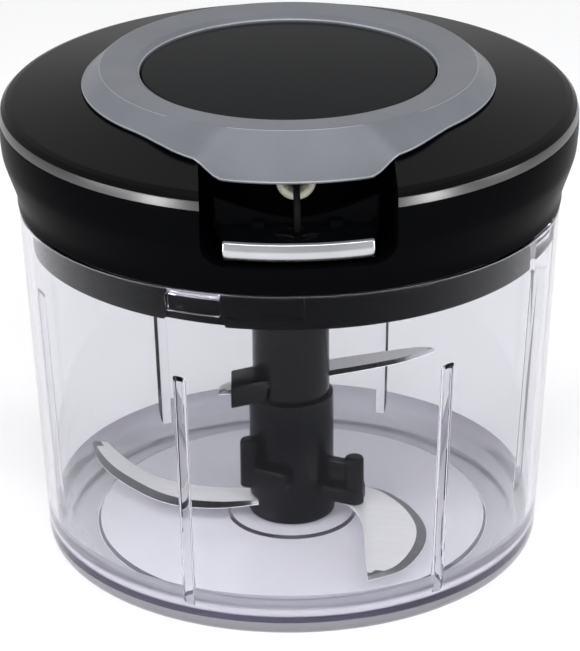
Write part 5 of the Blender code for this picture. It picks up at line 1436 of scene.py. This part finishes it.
@dataclass
class Knives:
    """Standing column in two parts, with the holders of its three blades."""

    finishes: Finishes
    low: float = 4.5
    split: float = 37.5
    gap: float = 0.3
    low_radius: float = 10.6
    high_radius: float = 9.6
    top: float = 85.6
    bulge: float = 0.4
    bore: float = 3.3
    bore_top: float = 30.5
    spigot: float = 6.8
    spigot_length: float = 5.6
    socket_radius: float = 7.2
    socket_floor: float = 76.6
    key_radius: float = 5.0
    key_thickness: float = 2.0
    key_direction: float = 125.0
    post_radius: float = 2.45
    blade_height: float = 8.4
    upper_blade_height: float = 41.2
    blade_thickness: float = 1.0

    @staticmethod
    def block(name: str, length: float, width: float, radius: float, direction: float, low: float,
              high: float, sideways: float = 0.0) -> bpy.types.Object:
        """Models a rounded block that reaches out from the column.

        Args:
            name: the block's name.
            length: size outwards.
            width: size sideways.
            radius: distance of its middle from the axis.
            direction: direction of its middle.
            low: bottom.
            high: top.
            sideways: shift across the direction.

        Returns:
            The block.
        """
        half_length, half_width = length / 2, width / 2
        corners = [(-half_length, -half_width, 0.5), (half_length, -half_width, 0.8)]
        corners += [(half_length, half_width, 0.8), (-half_length, half_width, 0.5)]
        block = Bench.pressed(name, soft_corners(corners, True, 4), low, high)
        turn = Matrix.Rotation(math.radians(direction - 90.0), 4, "Z")
        block.data.transform(turn @ Matrix.Translation((radius * MM, sideways * MM, 0.0)))
        Bench.eased(block, 0.35, 2, 50.0)
        return block

    def post(self, name: str, radius: float, direction: float, low: float, high: float,
             sideways: float = 0.0) -> bpy.types.Object:
        """Models a round post with a domed top at a place on a holder."""
        corners = [(0.0, low, 0.0), (self.post_radius, low, 0.0), (self.post_radius, high, 0.9), (0.0, high, 0.0)]
        post = Bench.turned(name, soft_corners(corners, False, 6), False, 40)
        turn = Matrix.Rotation(math.radians(direction - 90.0), 4, "Z")
        post.data.transform(turn @ Matrix.Translation((radius * MM, sideways * MM, 0.0)))
        return post

    def slot(self, outline: Sequence[Flat], height: float) -> bpy.types.Object:
        """Models the tool that cuts a blade's slot.

        Args:
            outline: the blade's outline.
            height: height of the blade's lower face.

        Returns:
            The tool.
        """
        points = [Vector(point) for point in outline]
        area = sum(a[0] * b[1] - a[1] * b[0] for a, b in zip(points, points[1:] + points[:1]))
        side = 1.0 if area > 0 else -1.0
        grown = []
        for before, point, after in zip(points[-1:] + points[:-1], points, points[1:] + points[:1]):
            first = (point - before).normalized()
            second = (after - point).normalized()
            normal = Vector((first[1] + second[1], -first[0] - second[0])).normalized() * side
            grown.append(tuple(point + normal * self.gap * 1.4))
        return Bench.pressed("blade_slot", grown, height - self.gap, height + self.blade_thickness + self.gap)

    def lower(self, slots: Sequence[bpy.types.Object]) -> None:
        """Models and dresses the lower part of the column.

        Args:
            slots: tools for the blades' slots.
        """
        top = self.split - self.gap
        bulge = self.low_radius + self.bulge
        socket = self.spigot + self.gap
        floor = self.split - self.spigot_length - self.gap
        corners = [(self.bore, self.low, 0.3), (bulge, self.low, 0.9), (self.low_radius, self.low + 5.0, 2.0)]
        corners += [(self.low_radius, top, 0.5), (socket, top, 0.2), (socket, floor, 0.0), (0.0, floor, 0.0)]
        chain = soft_corners(corners[:-1] + [(0.0, floor, 0.0)], False, 4)
        chain = [(self.bore, self.low)] + chain[1:]
        bore = [(0.0, self.bore_top), (self.bore, self.bore_top), (self.bore, self.low - 1.0), (0.0, self.low - 1.0)]
        column = Bench.turned("knife_column_foot", [(0.0, self.low)] + chain, False, 80)
        Bench.combined(column, Bench.turned("bore_tool", bore, False, 48), Joining.CUT)
        holders = [self.block("left_holder", 8.0, 12.6, 9.2, -35.0, 15.0, 20.3),
                   self.post("left_post", 11.9, -35.0, 14.7, 27.2, -4.7),
                   self.block("right_holder", 14.0, 6.6, 12.2, 62.0, 10.0, 14.0),
                   self.block("right_web", 11.0, 2.6, 11.0, 62.0, 13.7, 20.6),
                   self.post("right_post", 17.4, 62.0, 9.7, 22.2)]
        for holder in holders:
            Bench.combined(column, holder, Joining.FUSE)
        hollow = [(0.0, self.bore_top), (self.bore, self.bore_top), (self.bore, self.low - 1.0), (0.0, self.low - 1.0)]
        Bench.combined(column, Bench.turned("bore_tool", hollow, False, 48), Joining.CUT)
        for slot in slots:
            Bench.combined(column, slot, Joining.CUT)
        Bench.smoothed(column)
        dressed(column, self.finishes.column_black, Body.KNIVES, "gloss_black", "knife_column_lower")

    def upper(self, slot: bpy.types.Object) -> None:
        """Models and dresses the upper part of the column.

        Args:
            slot: tool for the upper blade's slot.
        """
        low = self.split - self.spigot_length
        corners = [(0.0, low, 0.0), (self.spigot, low, 0.4), (self.spigot, self.split, 0.1)]
        corners += [(self.high_radius, self.split, 0.4), (self.high_radius, self.top, 0.7)]
        corners += [(self.socket_radius, self.top, 0.4), (self.socket_radius, self.socket_floor, 0.2)]
        corners += [(0.0, self.socket_floor, 0.0)]
        column = Bench.turned("knife_column_neck", soft_corners(corners, False, 4), False, 80)
        outline = [(-6.0, -8.4), (-15.2, -12.4), (-15.0, -2.2), (-6.0, 2.0)]
        wedge = Bench.pressed("blade_wedge", outline, self.split + 0.5, self.upper_blade_height + 2.6)
        Bench.eased(wedge, 0.4, 3, 40.0)
        Bench.combined(column, wedge, Joining.FUSE)
        length = self.socket_radius + 1.0 - self.key_radius
        for turn in (0.0, 180.0):
            key = self.block("socket_key", length, self.key_thickness, self.key_radius + length / 2,
                             self.key_direction + turn, self.socket_floor - 0.6, self.top - 0.8)
            Bench.combined(column, key, Joining.FUSE)
        Bench.combined(column, slot, Joining.CUT)
        Bench.smoothed(column)
        dressed(column, self.finishes.column_black, Body.KNIVES, "gloss_black", "knife_column_upper")

    def build(self) -> None:
        """Models and dresses the column and its blades."""
        side = Blade("side_blade_ground", "blade_side",
                     [(-8.6, -6.6), (-18.0, -8.2), (-27.0, -7.0), (-34.3, -3.2), (-41.3, 3.2), (-47.0, 9.6),
                      (-50.4, 16.0), (-51.6, 21.4)],
                     [(-8.6, 0.6), (-24.0, 3.0), (-36.0, 9.4), (-43.2, 17.0), (-47.6, 22.4)],
                     self.blade_height, rise=4.4)
        front = Blade("front_blade_ground", "blade_front",
                      [(8.2, 2.2), (20.2, 1.6), (27.2, -5.7), (31.2, -15.0), (32.3, -24.4), (30.0, -34.4),
                       (24.6, -43.6), (16.4, -48.4)],
                      [(8.6, -4.4), (14.0, -8.6), (16.7, -18.4), (16.6, -35.0), (16.4, -47.6)],
                      self.blade_height)
        upper = Blade("upper_blade_ground", "blade_upper",
                      [(10.9, -0.9), (19.9, 2.3), (27.6, 5.6), (32.9, 9.0), (37.4, 12.4)],
                      [(-18.2, -11.0), (-16.4, -6.2), (-8.0, -2.2), (2.0, 2.6), (11.3, 7.0), (20.3, 9.8),
                       (28.0, 11.9), (33.4, 13.0), (37.4, 12.4)], self.upper_blade_height, ground=1.2,
                      straight=((-18.2, -11.0), (-13.5, -10.4)))
        slots = []
        for blade in (side, front, upper):
            outline = list(blade.straight) + [tuple(point) for point in flowing(blade.edge, 2)]
            outline += [tuple(point) for point in reversed(flowing(blade.back, 2)[1:-1])]
            outline += [blade.back[0]] if not blade.straight else []
            slots.append(self.slot(outline, blade.height))
        self.lower(slots[:2])
        self.upper(slots[2])
        for blade in (side, front, upper):
            blade.build(self.finishes.blade_steel, self.finishes.ground_band_painted_shade)


@dataclass
class Mechanism:
    """Hidden drive: the recoil spring, and finishes for the nodes that keep their solids."""

    finishes: Finishes
    loops: int = 6
    loop_points: int = 72
    inner: float = 13.15
    outer: float = 26.05
    strip: float = 0.5
    low: float = 92.5
    high: float = 98.05

    def spring(self) -> None:
        """Models and dresses the flat spiral spring."""
        count = self.loops * self.loop_points
        path = []
        for index in range(count + 1):
            share = index / count
            path.append(around(self.inner + (self.outer - self.inner) * share, 360.0 * self.loops * share, self.low))
        spring = Bench.trace("recoil_spring_spiral", path, False)
        bpy.ops.mesh.extrude_region_move(TRANSFORM_OT_translate={"value": (0.0, 0.0, (self.high - self.low) * MM)})
        bpy.ops.object.mode_set(mode="OBJECT")
        Bench.only(spring)
        modifier = spring.modifiers.new("strip", "SOLIDIFY")
        modifier.thickness = self.strip * MM
        modifier.offset = 0.0
        bpy.ops.object.modifier_apply(modifier=modifier.name)
        bpy.ops.object.mode_set(mode="EDIT")
        Bench.close_up(spring)
        Bench.smoothed(spring)
        dressed(spring, self.finishes.turned_steel, Body.REEL, "bright_steel", "recoil_spring")

    def kept_nodes(self) -> None:
        """Gives every node that still shows its own solid a finish."""
        finishes = self.finishes
        kept = {"spindle_pin": finishes.turned_steel, "cord_reel": finishes.white,
                "spring_cup": finishes.turned_steel, "drive_shaft": finishes.turned_steel,
                "drive_dog": finishes.satin_black, "shaft_bush": finishes.bronze,
                "clutch_pawl_1": finishes.white, "clutch_pawl_2": finishes.white,
                "pawl_pin_1": finishes.turned_steel, "pawl_pin_2": finishes.turned_steel,
                "cord_crimp": finishes.turned_steel}
        for name, finish in kept.items():
            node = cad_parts[name]
            node.data.materials.clear()
            node.data.materials.append(finish)
            log.info("%s: keeps its solid", name)

    def build(self) -> None:
        """Models and dresses the spring and finishes the kept nodes."""
        self.spring()
        self.kept_nodes()


@dataclass
class Studio:
    """Camera, pale floor and soft lights."""

    camera_place: Tuple[float, float, float] = (-24.1, -783.7, 404.4)
    heading: float = -1.75
    pitch: float = 24.06
    roll: float = -0.46
    lens: float = 191.06
    floor_size: float = 6000.0

    def camera(self) -> None:
        """Sets up the camera at the photograph's angle."""
        data = bpy.data.cameras.new("photo_camera")
        data.lens = self.lens
        data.sensor_width = 36.0
        data.sensor_fit = "AUTO"
        data.clip_start = 0.05
        data.clip_end = 20.0
        camera = bpy.data.objects.new("photo_camera", data)
        bpy.context.scene.collection.objects.link(camera)
        turn = Matrix.Rotation(math.radians(self.heading), 4, "Z")
        tilt = Matrix.Rotation(math.radians(90.0 - self.pitch), 4, "X")
        lean = Matrix.Rotation(math.radians(self.roll), 4, "Z")
        camera.matrix_world = Matrix.Translation(Vector(self.camera_place) * MM) @ turn @ tilt @ lean
        bpy.context.scene.camera = camera

    def floor(self) -> None:
        """Lays the pale floor."""
        bpy.ops.object.select_all(action="DESELECT")
        bpy.ops.mesh.primitive_plane_add(size=self.floor_size * MM, location=(0.0, 0.0, -0.0002))
        floor = bpy.context.active_object
        floor.name = "pale_floor"
        material = bpy.data.materials.new("pale_floor_finish")
        material.use_nodes = True
        shader = material.node_tree.nodes["Principled BSDF"]
        shader.inputs["Base Color"].default_value = (0.93, 0.93, 0.94, 1.0)
        shader.inputs["Roughness"].default_value = 0.5
        floor.data.materials.append(material)

    def light(self, name: str, place: Tuple[float, float, float], target: Tuple[float, float, float],
              size: Tuple[float, float], power: float) -> None:
        """Hangs a soft box.

        Args:
            name: the light's name.
            place: its middle, in metres.
            target: the point that it faces, in metres.
            size: width and height, in metres.
            power: power in watts.
        """
        data = bpy.data.lights.new(name, "AREA")
        data.shape = "RECTANGLE"
        data.size, data.size_y = size
        data.energy = power
        lamp = bpy.data.objects.new(name, data)
        bpy.context.scene.collection.objects.link(lamp)
        lamp.location = place
        lamp.rotation_mode = "QUATERNION"
        lamp.rotation_quaternion = (Vector(target) - Vector(place)).to_track_quat("-Z", "Y")

    def build(self) -> None:
        """Sets up the camera, the floor, the sky and the lights."""
        self.camera()
        self.floor()
        world = bpy.data.worlds.new("soft_studio")
        bpy.context.scene.world = world
        world.use_nodes = True
        background = world.node_tree.nodes["Background"]
        background.inputs["Color"].default_value = (1.0, 1.0, 1.0, 1.0)
        place = world.node_tree.nodes.new("ShaderNodeTexCoord")
        parts = world.node_tree.nodes.new("ShaderNodeSeparateXYZ")
        level = world.node_tree.nodes.new("ShaderNodeMapRange")
        level.inputs["From Min"].default_value = 0.1
        level.inputs["From Max"].default_value = 0.85
        level.inputs["To Min"].default_value = 0.7
        level.inputs["To Max"].default_value = 0.6
        world.node_tree.links.new(place.outputs["Generated"], parts.inputs["Vector"])
        world.node_tree.links.new(parts.outputs["Y"], level.inputs["Value"])
        world.node_tree.links.new(level.outputs["Result"], background.inputs["Strength"])
        bpy.context.scene.view_settings.view_transform = "Standard"
        center = (0.0, 0.0, 0.06)
        self.light("top_strip", (0.0, -0.1, 1.0), center, (1.0, 0.2), 1.5)
        self.light("front_box", (0.0, -0.85, 1.0), center, (1.2, 0.3), 7.0)
        self.light("left_box", (-1.0, -0.3, 0.45), center, (0.4, 0.8), 3.0)
        self.light("right_box", (1.0, -0.1, 0.45), center, (0.3, 0.8), 2.0)
        self.light("left_low", (-0.55, -0.45, 0.12), (0.0, 0.0, 0.045), (0.12, 0.3), 1.6)
        self.light("right_low", (0.55, -0.45, 0.12), (0.0, 0.0, 0.045), (0.12, 0.3), 1.6)


def main() -> None:
    """Builds every sub-assembly in order."""
    logging.basicConfig(level=logging.INFO, format="%(name)s: %(message)s")
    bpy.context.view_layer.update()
    Studio().build()
    finishes = Finishes()
    bowl = Bowl(finishes)
    bowl.build()
    LidBase(finishes, bowl).build()
    Seal(finishes).build()
    LidHousing(finishes).build()
    LidTop(finishes).build()
    CordGuide(finishes).build()
    Handle(finishes).build()
    Knives(finishes).build()
    Mechanism(finishes).build()


if __name__ == "__main__":
    main()
